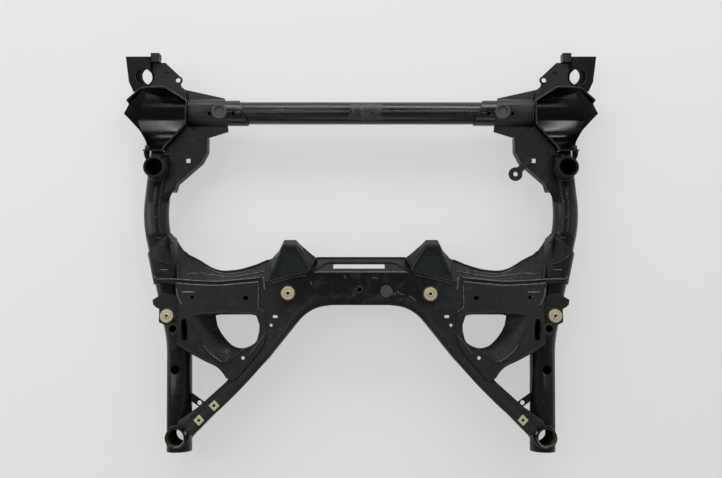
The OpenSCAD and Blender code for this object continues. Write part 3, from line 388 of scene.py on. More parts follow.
# Radii of the bores, the line on the legs below which they rust, and where the pockets' rims begin
SLEEVE_BORE = 17.6 * MM
LINK_BORE = 7.4 * MM
RUST_LINE = -0.373
POCKET_RIM = (RIM_Z - 1.0) * MM
MATERIALS = {
    "leg": finish(
        "leg_paint", "paint", PAINT_BUMP, specular=0.3,
        Dust=0.4, Scuffs=0.3, Dents=0.1, Gloss=0.26, Tone=(0.0075, 0.0074, 0.0066),
    ),
    "tube": finish(
        "tube_paint", "paint", PAINT_BUMP, specular=0.44,
        Dust=0.3, Scuffs=0.3, Dents=0.1, Gloss=0.24, Tone=(0.0063, 0.0062, 0.0056),
    ),
    "pressing": finish(
        "pressing_paint", "paint", PRESSED_BUMP, specular=0.12,
        Dust=0.8, Scuffs=0.7, Dents=0.6, Gloss=0.34, Film=0.55, Tone=(0.0092, 0.0092, 0.0095),
    ),
    "tower": finish(
        "tower_paint", "paint", PRESSED_BUMP, specular=0.06,
        Dust=0.6, Scuffs=0.5, Dents=0.6, Gloss=0.34, Tone=(0.0172, 0.0195, 0.0212),
    ),
    "tower_fold": finish(
        "tower_fold_paint", "paint", PRESSED_BUMP, specular=0.03,
        Dust=0.6, Scuffs=0.5, Dents=0.6, Gloss=0.34, Tone=(0.0165, 0.0187, 0.0203),
    ),
    "shell": finish(
        "shell_paint", "paint", PRESSED_BUMP, specular=0.1,
        Dust=0.8, Scuffs=0.7, Dents=0.6, Gloss=0.34, Film=0.28, Tone=(0.0092, 0.0092, 0.0095),
    ),
    # darker copy of the black paint: painted shade inside the corner pockets
    "pocket": finish(
        "pocket_shade_paint", "paint", (0.25, 0.6 * MM), specular=0.36,
        Dust=0.1, Scuffs=0.2, Dents=0.12, Gloss=0.11, Tone=(0.0018, 0.0018, 0.0021),
        Dull_Above=POCKET_RIM,
    ),
    # darker, dull copy of the black paint: painted shade in the front mount sleeves
    "bore": finish(
        "bore_shade_paint", "paint", PAINT_BUMP, specular=0.05,
        Dust=0.4, Scuffs=0.2, Dents=0.3, Gloss=0.7, Tone=(0.005, 0.005, 0.0048),
    ),
    # pale glossy paint: painted highlights along sheet edges
    "edge": finish(
        "edge_highlight_paint", "paint", (0.4, 0.5 * MM), specular=0.7,
        Dust=0.6, Scuffs=0.9, Dents=0.4, Gloss=0.2, Tone=(0.075, 0.075, 0.078),
    ),
    "scratch": finish(
        "scratched_primer", "dull", (0.4, 0.2 * MM),
        Tone=(0.24, 0.25, 0.25), Stain=(0.04, 0.04, 0.04), Amount=0.8, Scale=240.0, Gloss=0.5,
    ),
    "stain": finish(
        "zinc_stain", "dull", STAIN_BUMP,
        Tone=(0.075, 0.068, 0.016), Stain=(0.012, 0.011, 0.008), Amount=0.9, Scale=210.0, Gloss=0.5,
    ),
    "serration": finish(
        "serration_dirt", "dull", STAIN_BUMP,
        Tone=(0.36, 0.3, 0.18), Stain=(0.2, 0.15, 0.08), Amount=0.7, Scale=300.0, Gloss=0.5,
    ),
    "bracket": finish(
        "bracket_paint", "paint", PAINT_BUMP, specular=0.2,
        Dust=0.6, Scuffs=0.5, Dents=0.3, Gloss=0.32, Tone=(0.0138, 0.0136, 0.0126),
    ),
    # paler paint: dust, and a painted sheen for the light that tube brackets, front clips and pocket flares
    # catch from above
    "hat": finish(
        "dust_and_sheen_paint", "paint", PAINT_BUMP, specular=0.2,
        Dust=0.8, Scuffs=0.5, Dents=0.3, Gloss=0.34, Tone=(0.033, 0.032, 0.0295),
    ),
    "gusset": finish(
        "gusset_paint", "paint", PAINT_BUMP, specular=0.1,
        Dust=0.7, Scuffs=0.6, Dents=0.4, Gloss=0.34, Tone=(0.0155, 0.0153, 0.0142),
    ),
    # the bore mask paints shade inside the middle sleeve's bore
    "sleeve": finish(
        "sleeve_paint", "paint", SLEEVE_BUMP, specular=0.02,
        Dust=0.9, Scuffs=0.4, Dents=0.7, Gloss=0.5, Tone=(0.026, 0.025, 0.022),
        Bore_Place=bore_place("middle"), Bore_Radius=SLEEVE_BORE,
    ),
    # the bore mask paints shade inside the link bush's bore
    "bush": finish(
        "bush_paint", "paint", SLEEVE_BUMP, specular=0.02,
        Dust=0.9, Scuffs=0.4, Dents=0.7, Gloss=0.5, Tone=(0.034, 0.033, 0.029),
        Bore_Place=bore_place("link"), Bore_Radius=LINK_BORE,
    ),
    "foot": finish(
        "foot_paint", "paint", (0.8, 1.0 * MM), specular=0.0,
        Dust=0.9, Scuffs=0.6, Rust=0.8, Dents=0.8, Gloss=0.5, Tone=(0.016, 0.015, 0.0125),
        Rust_From=RUST_LINE, Bore_Place=bore_place("rear"), Bore_Radius=SLEEVE_BORE,
        Bore_Tone=(0.07, 0.06, 0.042),
    ),
    "bare": finish(
        "bare_rim", "dull", (0.5, 0.4 * MM),
        Tone=(0.2, 0.185, 0.155), Stain=(0.06, 0.045, 0.032), Amount=0.7, Scale=170.0, Gloss=0.5,
    ),
    "weld": finish(
        "weld_paint", "paint", (0.5, 0.7 * MM),
        Dust=0.5, Scuffs=0.5, Dents=0.6, Gloss=0.26, Tone=(0.011, 0.011, 0.011),
    ),
    "zinc": finish(
        "yellow_zinc", "zinc", ZINC_BUMP, metallic=0.55,
        Dirt=0.55,
    ),
    "clip": finish(
        "clip_zinc", "zinc", ZINC_BUMP, metallic=0.45,
        Dirt=0.3, Tone=(0.6, 0.62, 0.38),
    ),
    "plug": finish(
        "plug_plastic", "dull", (0.3, 0.3 * MM),
        Tone=(0.045, 0.046, 0.048), Stain=(0.1, 0.098, 0.09), Amount=0.5, Scale=160.0, Gloss=0.45,
    ),
    "label": finish(
        "label_paper", "dull", (0.15, 0.1 * MM),
        Tone=(0.57, 0.575, 0.54), Stain=(0.46, 0.45, 0.4), Amount=0.35, Scale=120.0, Gloss=0.5,
    ),
    "residue": finish(
        "torn_paper", "dull", (0.5, 0.3 * MM),
        Tone=(0.014, 0.013, 0.017), Stain=(0.16, 0.16, 0.165), Amount=0.45, Scale=95.0, Gloss=0.5,
    ),
}

NODE_FINISH = {
    "front_cross_tube": "tube", "tube_collar": "tube", "side_tube": "leg", "tube_bracket": "hat",
    "bracket_plugs": "plug", "corner_pocket": "pocket", "front_mount_bracket": "bracket",
    "front_mount_sleeve": "bore", "ear_plate": "bracket", "front_clips": "hat", "middle_sleeve": "sleeve",
    "rear_sleeve": "foot", "link_bush": "bush", "gusset_plate": "gusset", "line_bracket": "bracket",
    "crossmember_shell": "shell", "crossmember_plate": "pressing", "end_plate": "pressing",
    "mount_tower": "tower", "hook_tab": "bracket", "zinc_nuts": "zinc", "clip_nuts": "clip",
    "weld_nut": "weld", "grey_plug": "plug", "loop_clips": "bracket", "label": "label",
}


def family(name):
    """A node's name without its side."""
    for side in ("_left", "_right"):
        if name.endswith(side):
            return name[: -len(side)]
    return name


def dress_nodes():
    """Paint on the CAD nodes, with their split edges joined and their sharp edges broken."""
    for name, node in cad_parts.items():
        kind = family(name)
        node.data.materials.clear()
        node.data.materials.append(MATERIALS[NODE_FINISH[kind]])
        if kind == "label":
            continue
        weld = node.modifiers.new("join_edges", "WELD")
        weld.merge_threshold = JOIN_DISTANCE
        bevel = node.modifiers.new("broken_edges", "BEVEL")
        bevel.width = EDGE_WIDTH
        bevel.segments = EDGE_SEGMENTS
        bevel.limit_method = "ANGLE"
        bevel.angle_limit = EDGE_ANGLE
        bevel.harden_normals = True
        if kind == "corner_pocket":
            # the trough's long faces keep their own lean up to the broken edges
            node.modifiers.new("face_lean", "WEIGHTED_NORMAL")


# Swept details

CURVE_STEPS = 12


def curve_through(points, step, closed=False):
    """Evenly spaced points, in metres, on a smooth curve through drawing points."""
    knots = [at(*p) for p in points]
    n = len(knots)
    fine = []
    for i in range(n if closed else n - 1):
        before = knots[(i - 1) % n] if closed or i > 0 else knots[i]
        after = knots[(i + 2) % n] if closed or i + 2 < n else knots[i + 1]
        first, second = knots[i], knots[(i + 1) % n]
        for k in range(CURVE_STEPS):
            t = k / CURVE_STEPS
            fine.append(0.5 * (2 * first + (second - before) * t
                               + (2 * before - 5 * first + 4 * second - after) * t * t
                               + (3 * first - before - 3 * second + after) * t ** 3))
    if not closed:
        fine.append(knots[-1])
    return even_steps(fine + fine[:1] if closed else fine, step * MM, closed)


def even_steps(points, step, closed=False):
    """The same curve with points at even steps."""
    total = sum((b - a).length for a, b in zip(points, points[1:]))
    count = max(int(round(total / step)), 2)
    spaced, done, goal = [], 0.0, 0.0
    for a, b in zip(points, points[1:]):
        run = (b - a).length
        while goal <= done + run + 1e-12 and len(spaced) <= count:
            spaced.append(a.lerp(b, 0.0 if run == 0 else (goal - done) / run))
            goal += total / count
        done += run
    return spaced[:count] if closed else spaced


def sweep(mesh, path, outline, up=(0, 0, 1), closed=False, swell=None):
    """A skin with an outline of side and height, in millimetres, drawn along a path."""
    up, n, rings = Vector(up), len(path), []
    for i, point in enumerate(path):
        ahead = path[(i + 1) % n] if closed or i + 1 < n else point
        behind = path[(i - 1) % n] if closed or i > 0 else point
        way = (ahead - behind).normalized()
        side = way.cross(up).normalized()
        rise = side.cross(way)
        size = MM * (swell(i) if swell else 1.0)
        rings.append([mesh.verts.new(point + side * (a * size) + rise * (b * size)) for a, b in outline])
    m = len(outline)
    for i in range(n if closed else n - 1):
        first, second = rings[i], rings[(i + 1) % n]
        for k in range(m):
            mesh.faces.new((first[k], first[(k + 1) % m], second[(k + 1) % m], second[k]))
    if not closed:
        mesh.faces.new(rings[0][::-1])
        mesh.faces.new(rings[-1])


def circle(radius, count=10, flatten=1.0):
    return [(radius * math.cos(2 * math.pi * k / count), flatten * radius * math.sin(2 * math.pi * k / count))
            for k in range(count)]


def scales(seed, pitch=3.0):
    """Weld ripple: a swell that rises and falls along a bead, never quite the same."""
    dice = random.Random(seed)
    phase, depth = dice.uniform(0, 6), [dice.uniform(0.86, 1.1) for _ in range(97)]
    return lambda i: (1.0 + 0.1 * math.sin(2 * math.pi * i / pitch + phase)) * depth[i // 4 % 97]


def cap_outline(radius, bulge, reach, slope=0.0):
    """Outline of a rounded cap over a sheet corner: side runs inwards from the corner, height up from it."""
    rest, foot, steps = 0.08, radius - bulge, 7
    ease = [k / steps for k in range(steps)]
    top = [(foot + reach * (1 - t), rest + (bulge - rest) * (3 - 2 * t) * t * t) for t in ease]
    turn = [math.radians(90 + 90 * k / steps) for k in range(steps + 1)]
    bend = [(foot + radius * math.cos(a), -foot + radius * math.sin(a)) for a in turn]
    side = [(-b, -a) for a, b in reversed(top)]
    under = [(1.4, -foot - reach), (1.4, -1.4), (foot + reach, -1.2)]
    return [(a + slope * min(b, 0.0), b) for a, b in top + bend + side + under]


def skin(mesh, rows, thickness):
    """A sheet through rows of drawing points, with a back face below it."""
    front = [[mesh.verts.new(at(*p)) for p in row] for row in rows]
    drop = Vector((0.0, 0.0, thickness * MM))
    back = [[mesh.verts.new(v.co - drop) for v in row] for row in front]
    for grid in (front, back):
        for a, b in zip(grid, grid[1:]):
            for k in range(len(a) - 1):
                mesh.faces.new((a[k], a[k + 1], b[k + 1], b[k]))
    rims = []
    for grid in (front, back):
        rims.append(grid[0][:-1] + [row[-1] for row in grid[:-1]]
                    + grid[-1][:0:-1] + [row[0] for row in grid[:0:-1]])
    n = len(rims[0])
    for k in range(n):
        mesh.faces.new((rims[0][k], rims[0][(k + 1) % n], rims[1][(k + 1) % n], rims[1][k]))


def put(name, mesh, kind):
    """A finished mesh as a piece of the frame."""
    bmesh.ops.recalc_face_normals(mesh, faces=mesh.faces)
    data = bpy.data.meshes.new(name)
    mesh.to_mesh(data)
    mesh.free()
    for face in data.polygons:
        face.use_smooth = True
    data.set_sharp_from_angle(angle=SHARP_ANGLE)
    data.materials.append(MATERIALS[kind])
    piece = bpy.data.objects.new(name, data)
    bpy.context.collection.objects.link(piece)
    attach(piece, "root")
    return piece


def mirrored(points, side):
    return [(side * x, y, z) for x, y, z in points]


def around(points, side):
    """A path on one side, in the order that keeps the sheet on the same hand."""
    return mirrored(points if side > 0 else points[::-1], side)


def flat(points, z):
    return [(x, y, z) for x, y in points]


def circle_points(count=48, start=0.0, turn=360.0):
    steps = count if turn == 360.0 else count + 1
    return [math.radians(start + turn * k / count) for k in range(steps)]


def tube_ring(place, radius, above):
    """Where an upright round meets the side tube."""
    x, y = place
    run = Vector((tube_x(y + 5) - tube_x(y - 5), 10.0)).normalized()
    points = []
    for angle in circle_points():
        dx, dy = radius * math.cos(angle), radius * math.sin(angle)
        off = dx * run.y - dy * run.x
        points.append((x + dx, y + dy, TUBE_Z + above * math.sqrt(max(TUBE_R ** 2 - off ** 2, 0.0))))
    return points


# Welds of the cross tube: slanted end of the collar, edge of the tube bracket and its arch beside the pocket
COLLAR_END_X, COLLAR_WELD_R, COLLAR_SLANT = 244.0, 24.3, 20 / 52.4
BRACKET_EDGE_X, BRACKET_EDGE_Y, BRACKET_SLANT, BRACKET_R = 275.0, 242.0, 10.0, 27.4
ARCH_X, ARCH_R = 353.4, 30.2
# Sleeves with a wider bead than the link bushes
WIDE_BEAD_FROM = 15.0


def on_cross_tube(x, angle, radius):
    """A point around the axis of the cross tube."""
    return (x, CROSS_Y + radius * math.cos(angle), CROSS_Z + radius * math.sin(angle))


def build_tube_welds():
    """Beads around the sleeves, at the collar ends and along the tube brackets."""
    mesh = bmesh.new()
    for side in SIDES:
        for k, (place, radius) in enumerate(UPRIGHTS.values()):
            bead = circle(2.1 if radius > WIDE_BEAD_FROM else 1.5)
            for above in SIDES:
                path = curve_through(mirrored(tube_ring(place, radius, above), side), BEAD_STEP, True)
                sweep(mesh, path, bead, closed=True, swell=scales(k + 3 * above))
        ring = [on_cross_tube(COLLAR_END_X + COLLAR_WELD_R * math.cos(a) * COLLAR_SLANT, a, COLLAR_WELD_R)
                for a in circle_points()]
        path = curve_through(mirrored(ring, side), BEAD_STEP, True)
        sweep(mesh, path, circle(1.5), (1, 0, 0), True, scales(11))
        edge = [(BRACKET_EDGE_X + (y - BRACKET_EDGE_Y) / BRACKET_SLANT, y,
                 CROSS_Z + math.sqrt(BRACKET_R ** 2 - (y - CROSS_Y) ** 2)) for y in range(257, 304, 3)]
        sweep(mesh, curve_through(mirrored(edge, side), BEAD_STEP), circle(1.7), (1, 0, 0), swell=scales(12))
        arch = [on_cross_tube(ARCH_X, a, ARCH_R) for a in circle_points(32, 4, 172)]
        path = curve_through(mirrored(arch, side), BEAD_STEP)
        sweep(mesh, path, circle(1.3), (1, 0, 0), swell=scales(13, 11))
        for y, off in ((61, -8), (18.6, -5)):
            dab = [on_tube(off + t, y + 0.3 * t, 0.2) for t in (-4, -1, 2, 5)]
            path = curve_through(mirrored(dab, side), 0.8)
            sweep(mesh, path, circle(1.5, flatten=0.7), swell=scales(14, 5))
    return put("tube_welds", mesh, "weld")


# Axis and radius of the pocket's trough, and half of its sheet
POCKET_Y, POCKET_AXIS_Z, POCKET_R = 261.0, 90.0, 64.0
POCKET_HALF_T = 1.5


def on_trough(x, y):
    """A point of the pocket's sheet edge, half way through its thickness."""
    depth = math.sqrt(max((POCKET_R + POCKET_HALF_T) ** 2 - (y - POCKET_Y) ** 2, 0.0))
    return (x, y, min(POCKET_AXIS_Z - depth, RIM_Z))


def build_pocket_lips():
    """Rolled rims of the corner pockets, and the weld along their slanted seam."""
    mesh = bmesh.new()
    rim = flat([(477, 299.4), (465, 311), (452, 323.4), (444, 325.8), (431, 327.4), (403, 327.4), (394, 323),
                (357, 299.4), (356.6, 296)], RIM_Z - 0.3)
    inner = flat([(356.6, 296), (356.6, 275), (356.6, 252)], RIM_Z - 0.3)
    seam = flat([(356.6, 252), (376, 228), (396, 205.6), (402, 193)], RIM_Z - 0.6)
    outer = [on_trough(x, y) for x, y in ((444.4, 212), (447, 220), (453, 232), (466, 252), (482, 273),
                                          (492.5, 280.6))]
    for side in SIDES:
        for points, radius, seed in ((rim, 1.6, 21), (inner, 1.5, 22), (outer, 1.4, 24)):
            sweep(mesh, curve_through(mirrored(points, side), 1.5), circle(radius), swell=scales(seed, 40))
        sweep(mesh, curve_through(mirrored(seam, side), BEAD_STEP), circle(2.3), swell=scales(23))
    return put("pocket_lips", mesh, "weld")


# Side places on the tube of the flange's foot and of its weld
FLANGE_FOOT, FLANGE_WELD = -15.5, -15.0
# Flange rows: place along the frame, then side and height of its inner edge and of its fold
FLANGE_ROWS = [(196, -30.5, 76.4, -24, 75.6), (186, -33, 76.4, -27, 75.8), (176, -36, 76.4, -29, 76.2),
               (160, -36, 76.4, -29.5, 76.2), (144, -37, 76.4, -30, 76.2), (128, -38, 76.4, -30.5, 76.2),
               (114, -38, 76.2, -31, 75.8), (107, -33.5, 71, -28, 70), (100, -28.5, 63, -25, 62),
               (93, -24, 53, -22, 54)]


def build_gusset_flanges():
    """Sheet flanges that close the gap from the gussets down to the side tubes, with their welds."""
    mesh = bmesh.new()
    for side in SIDES:
        rows = []
        for y, inner, inner_z, fold, fold_z in FLANGE_ROWS:
            foot = on_tube(FLANGE_FOOT, y, 0.5)
            edge = (tube_x(y) + inner, y, inner_z)
            bend = (tube_x(y) + fold, y, fold_z)
            half = tuple(0.5 * (a + b) for a, b in zip(bend, foot))
            rows.append(mirrored([edge, bend, half, foot], side))
        skin(mesh, rows, SHEET_T)
        foot = [on_tube(FLANGE_WELD, y, 0.6) for y in range(92, 180, 8)]
        sweep(mesh, curve_through(mirrored(foot, side), BEAD_STEP), circle(2.0), swell=scales(31))
    return put("gusset_flanges", mesh, "gusset")


# Flared lip of a pocket: its free edge, and where it leaves the trough
FLARE_LIP = [(446, 325.2, 85.8), (452, 322.8, 85.8), (465, 311, 85.8), (477.4, 298.6, 85.6),
             (473.6, 292.5, 83), (480, 284, 77), (487.4, 276, 70), (479, 266.5, 53), (468.4, 254, 36)]
FLARE_ROOT = [(441, 321), (447, 316), (457, 307), (464, 297.4), (466.4, 291), (469.6, 283), (472, 274),
              (468.6, 263.6), (463, 252)]
FLARE_STEPS = 7
FLARE_REST = 1.7
FLARE_CURVE = 1.5


def build_pocket_flares():
    """Flared outer lips of the corner pockets, between the two points of their rims."""
    mesh = bmesh.new()
    for side in SIDES:
        rows = []
        for (x, y, z), (root_x, root_y) in zip(FLARE_LIP, FLARE_ROOT):
            rise = z - on_trough(x, y)[2] - FLARE_REST
            rows.append([])
            for k in range(FLARE_STEPS + 1):
                t = k / FLARE_STEPS
                here = (x + (root_x - x) * t, y + (root_y - y) * t)
                rows[-1].append((*here, on_trough(*here)[2] + FLARE_REST + rise * (1 - t) ** FLARE_CURVE))
        skin(mesh, [mirrored(row, side) for row in rows], SHEET_T)
    # the paler hat paint paints the light that the flares catch
    return put("pocket_flares", mesh, "hat")


# Rows of the closing sheets: beside the ear plate, at the gusset's prong, from the pocket down to the sleeve
FILLERS = (
    [
        [(372, 334, 67.5), (368, 332, 61), (362, 328, 54)],
        [(369, 321, 67.5), (364, 318, 61), (358, 315, 54)],
        [(367, 308, 67.5), (361, 305, 61), (355.6, 302, 54)],
    ],
    [
        [(385, 205, 76.4), (392, 204.4, 76.4), (396, 203.6, 76)],
        [(384, 197, 76.4), (393, 196.6, 76.2), (400, 196, 75)],
        [(385, 187, 76.4), (395, 187.6, 75.4), (403, 189, 73)],
    ],
    [
        [(446, 214, 54), (442.5, 213.5, 52), (439, 213, 50)],
        [(445.6, 205, 58), (441, 205, 57), (436, 205, 56)],
        [(445.2, 196, 66), (440, 196, 64), (434, 196, 62)],
        [(442.4, 187, 71), (437.5, 187.4, 69.5), (432.5, 188, 68)],
        [(436, 177, 78), (433, 178.4, 77), (430, 180, 76)],
        [(430, 171.4, 84), (428, 172.8, 84), (426, 174, 84)],
    ],
)


def build_corner_fillers():
    """Small sheets that close the corners between pocket, ear plate, bracket, gusset and middle sleeve."""
    mesh = bmesh.new()
    for side in SIDES:
        for rows in FILLERS:
            skin(mesh, [mirrored(row, side) for row in rows], SHEET_T)
    return put("corner_fillers", mesh, "bracket")


# Webs: first place along the tube and run, side and height of crest and shoulder, wall end, lift off the wall
WEB_Y, WEB_RUN, WEB_STEPS = 29.0, 94.0, 14
CREST_SIDE, CREST_Z = 21.0, 65.4
SHOULDER_SIDE, SHOULDER_Z = 28.6, 50.0
WALL_END_X, WALL_END_RUN = 386.0, 6.0
WEB_LIFT = Vector((-1.0, 0.6, 0.8))


def build_saddle_webs():
    """Sheet that closes the ends of the leaning wall against the hoods over the side tubes."""
    mesh = bmesh.new()
    for side in SIDES:
        rows = []
        for i in range(WEB_STEPS + 1):
            t = i / WEB_STEPS
            y = WEB_Y - WEB_RUN * t
            crest = Vector((tube_x(y) - CREST_SIDE, y, CREST_Z))
            shoulder = Vector((tube_x(y) - SHOULDER_SIDE, y - 1, SHOULDER_Z))
            foot = Vector(on_lean(WALL_END_X - WALL_END_RUN * t, 1 - t)) + WEB_LIFT
            half = shoulder.lerp(foot, 0.5)
            rows.append(mirrored([tuple(p) for p in (crest, shoulder, half, foot)], side))
        skin(mesh, rows, WEB_T)
    return put("saddle_webs", mesh, "shell")


# Rows of the lap, from the arm's sheet down onto the leg
ARM_FOOT_ROWS = [
    [(313, -311, 80.6), (328, -321, 79), (343, -332, 75.5), (357, -341, 72.2)],
    [(324, -322, 80.8), (336, -330, 79.4), (348, -339, 76), (360, -347, 72.6)],
    [(333, -334, 80.8), (341, -341, 79.6), (349.5, -347, 76.6), (359, -352, 73.4)],
    [(335, -349, 80.8), (340, -352, 79.6), (345, -354.6, 77.6), (350, -357, 75.6)],
]


def build_arm_feet():
    """Sheet that laps from the end of each arm onto the leg."""
    mesh = bmesh.new()
    for side in SIDES:
        skin(mesh, [mirrored(row, side) for row in ARM_FOOT_ROWS], SHEET_T)
    return put("arm_feet", mesh, "pressing")


# Rubbed arcs on the rear sleeves: radius, height, first angle, turn, half width, seed
BARE_ARCS = ((18.0, 84.0, 188, 86, 1.0, 81), (21.8, 82.6, 147, 17, 2.0, 82))


def build_bare_rims():
    """Rubbed rims of the rear sleeves, with the bright weld between sleeve and arm."""
    mesh = bmesh.new()
    x, y = UPRIGHTS["rear"][0]
    for side in SIDES:
        for radius, z, start, turn, thick, seed in BARE_ARCS:
            arc = [(x + radius * math.cos(a), y + radius * math.sin(a), z)
                   for a in circle_points(16, start, turn)]
            path = curve_through(mirrored(arc, side), BEAD_STEP)
            sweep(mesh, path, circle(thick, 8, 0.5), swell=scales(seed, 7))
    return put("bare_rims", mesh, "bare")


# Outer edge of the crossmember plate, from the leg to the middle
ARM_EDGE = [(329, -369), (311, -350), (293, -331.5), (272, -312.5), (230, -270.5), (187, -222), (160, -188),
            (138, -160.5), (128, -149), (116, -136.5), (101, -125.6), (84, -118.3), (62, -114.6), (40, -114),
            (0, -114)]
# Radius, bulge and reach of the rolled edges, and the lean of the tower's sides
ARM_ROLL = (8.0, 2.4, 15.0)
TOWER_ROLL = (5.0, 1.5, 7.0, 0.3)


def build_arm_rolls():
    """Rolled outer edge of the crossmember, from one leg along both arms to the other."""
    mesh = bmesh.new()
    whole = ARM_EDGE + [(-x, y) for x, y in ARM_EDGE[-2::-1]]
    sweep(mesh, curve_through(flat(whole, PLATE_Z), 3.0), cap_outline(*ARM_ROLL))
    return put("arm_rolls", mesh, "pressing")


# Outline of a mount tower's face, without its foot
TOWER_EDGE = [(107, -55.5), (101, -43), (111, -24), (122.6, -5.4), (131, 1.6), (143, 2.2), (155, 1.6),
              (161, -15.4), (169, -34), (177.4, -53.4)]


def build_tower_rolls():
    """Rounded folds around the faces of the mount towers."""
    mesh = bmesh.new()
    for side in SIDES:
        path = curve_through(around(flat(TOWER_EDGE, END_PLATE_Z), side), 1.5)
        sweep(mesh, path, cap_outline(*TOWER_ROLL))
    return put("tower_rolls", mesh, "tower_fold")


# Folds of the leaning wall: x and how far down the wall
LOW_FOLD = [(196, 0.49), (216, 0.52), (234, 0.55), (262, 0.56), (280, 0.64), (294, 0.67), (310, 0.62),
            (324, 0.56), (340, 0.45), (354, 0.35)]
HIGH_FOLD = [(226, 0.72), (236, 0.75), (250, 0.78), (272, 0.79), (288, 0.85), (300, 0.89), (312, 0.9),
             (322, 0.9)]
# How far down the wall its lower edge lies, height of the drawn rim, and spacing along a ridge
WALL_EDGE = 0.97
DRAWN_RIM_Z = 50.0
RIDGE_STEP = 2.5


def build_pressed_lines():
    """Lips, folds and creases of the pressings, each a low ridge."""
    mesh = bmesh.new()
    lines = [
        # lower edge of the leaning wall
        ([on_lean(x, WALL_EDGE) for x in range(192, 372, 8)], 2.4),
        # edges of the end plate on the arm, its lap and its lower flange
        (flat([(188, -160), (189.5, -176), (194, -194), (206, -212), (219, -229), (235, -247), (250, -263.6)],
              PLATE_Z + 2.4), 1.5),
        (flat([(363, -191), (347, -202), (331, -211), (306, -224), (283, -235), (270, -247), (262, -259)],
              PLATE_Z + 1.2), 2.6),
        # foot of the mount tower
        (flat([(104, -52), (122, -55), (143, -60.3), (164, -65.6), (184, -71)], PLATE_Z + 1.4), 2.6),
        # fold of the hood over the side tube
        ([on_hood(x, y, 0.2) for x, y in ((417, -18), (409, -24), (401.5, -28.6), (392, -32.4),
                                          (384.2, -35))], 2.0),
    ]
    for side in SIDES:
        for points, radius in lines:
            sweep(mesh, curve_through(mirrored(points, side), RIDGE_STEP), circle(radius))
        lip = curve_through(mirrored(flat(DRAWN_LIP, END_PLATE_Z - 0.5), side), 2.0, True)
        sweep(mesh, lip, circle(1.9), closed=True)
        rim = curve_through(mirrored(flat(DRAWN_RIM, DRAWN_RIM_Z), side), 2.0, True)
        sweep(mesh, rim, circle(2.0), closed=True)
    for points in (
        [on_lean(x, WALL_EDGE) for x in range(-92, 93, 8)],
        [on_lean(-92, 0.06), on_lean(-82, 0.34), on_lean(-72, 0.56), on_lean(-62, 0.62)]
        + [on_lean(x, 0.62) for x in range(-48, 49, 12)]
        + [on_lean(60, 0.62), on_lean(72, 0.54), on_lean(82, 0.34), on_lean(92, 0.06)],
    ):
        sweep(mesh, curve_through(points, RIDGE_STEP), circle(1.8))
    return put("pressed_lines", mesh, "pressing")


def build_edge_highlights():
    """Painted highlights: pale glossy lines along sheet edges, laps and folds, where the light catches them.
    """
    mesh = bmesh.new()
    lines = [
        # upper edge of the end plate and lip of the seam flange
        ([(x, seam_y(x) + 1.0, END_PLATE_Z - 0.4) for x in range(204, 367, 18)], 1.5),
        ([(x, seam_y(x) + 9.4, SEAM_Z + 0.4) for x in range(203, 404, 20)], 1.2),
        # lap of the end plate, lap beside the tower and stamped slot
        (flat([(203.6, -73), (203.4, -95), (203.4, -119), (198, -125), (191, -128.6)], PLATE_Z + 2.4), 0.9),
        (flat([(194.6, -60), (193, -70), (191.4, -86)], PLATE_Z + 1.4), 1.5),
        (flat([(330, -91), (343, -91), (355, -91)], END_PLATE_Z - 0.4), 1.9),
        # ridge and foot of the mount tower
        (flat([(128, -2.4), (113.9, -22), (104, -39), (102.4, -47)], END_PLATE_Z + 1.3), 0.6),
        (flat([(108, -58), (122, -58.6), (143, -63.6), (164, -69), (184, -75)], PLATE_Z + 0.5), 1.2),
        # bright edge beside the drawn opening and crease of the arm
        (flat([(309, -195), (300.9, -206.2), (288.1, -217.6), (273.2, -226.9)], END_PLATE_Z + 0.9), 1.3),
        (flat([(185.1, -168.8), (200.6, -187.5), (219.1, -212.5)], END_PLATE_Z - 0.6), 1.0),
        # folds along the leaning wall
        ([on_lean(x, share) for x, share in LOW_FOLD], 1.1),
        ([on_lean(x, share) for x, share in HIGH_FOLD], 0.9),
        # slot and lower edge of the hood, and the weld below it
        ([on_hood(x, y, 0.3) for x, y in ((401, -45.8), (396, -46), (391, -46), (387, -45.8))], 1.2),
        ([on_hood(x, y, 0.3) for x, y in ((416, -58), (408, -64), (398, -66), (388, -66.6))], 1.2),
        (flat([(366, -84), (364.7, -93), (361.2, -103.6), (354.5, -116.3)], END_PLATE_Z + 0.2), 1.6),
    ]
    for side in SIDES:
        for k, (points, radius) in enumerate(lines):
            path = curve_through(mirrored(points, side), 2.0)
            sweep(mesh, path, circle(radius, 8), swell=scales(40 + k, 9))
    middle = [(x, seam_y(x) - 1.0, PLATE_Z - 0.4) for x in range(-92, 93, 8)]
    sweep(mesh, curve_through(middle, RIDGE_STEP), circle(1.4, 8), swell=scales(60, 9))
    return put("edge_highlights", mesh, "edge")


# Scratches and chips on the crossmember plate
SCRATCHES = [
    [(54, -80), (63.2, -88.1), (60.4, -95), (68.7, -92.3), (67.3, -100.6), (75.6, -99.2)],
    [(72, -88), (78, -94), (86, -96)],
    [(96.5, -97.8), (102, -102), (108.9, -107.5)],
    [(-100, -69), (-99, -77)],
    [(22, -62), (34, -64)],
    [(-34, -57), (-30, -64)],
]


def build_scratches():
    """Scratches down to the primer, most of them beside the grey plug."""
    mesh = bmesh.new()
    for points in SCRATCHES:
        rows = [at(x, y, PLATE_Z + 0.05) for x, y in points]
        sweep(mesh, even_steps(rows, 1.0 * MM), circle(0.4, 6, 0.5), swell=scales(len(points), 7))
    return put("scratches", mesh, "scratch")


# Middle of each zinc nut and the height of its face and of the sheet below it
NUTS = [
    ((138, -94.5), 85.0, PLATE_Z),
    ((-145, -93), 85.0, PLATE_Z),
    ((386.1, -138), 78.2, 74.2),
    ((-386.1, -138), 78.2, 74.2),
]
NUT_SPOKES = 11
SPOKE_RADII = (5.4, 8.5, 11.4)
STAIN_R = 13.9


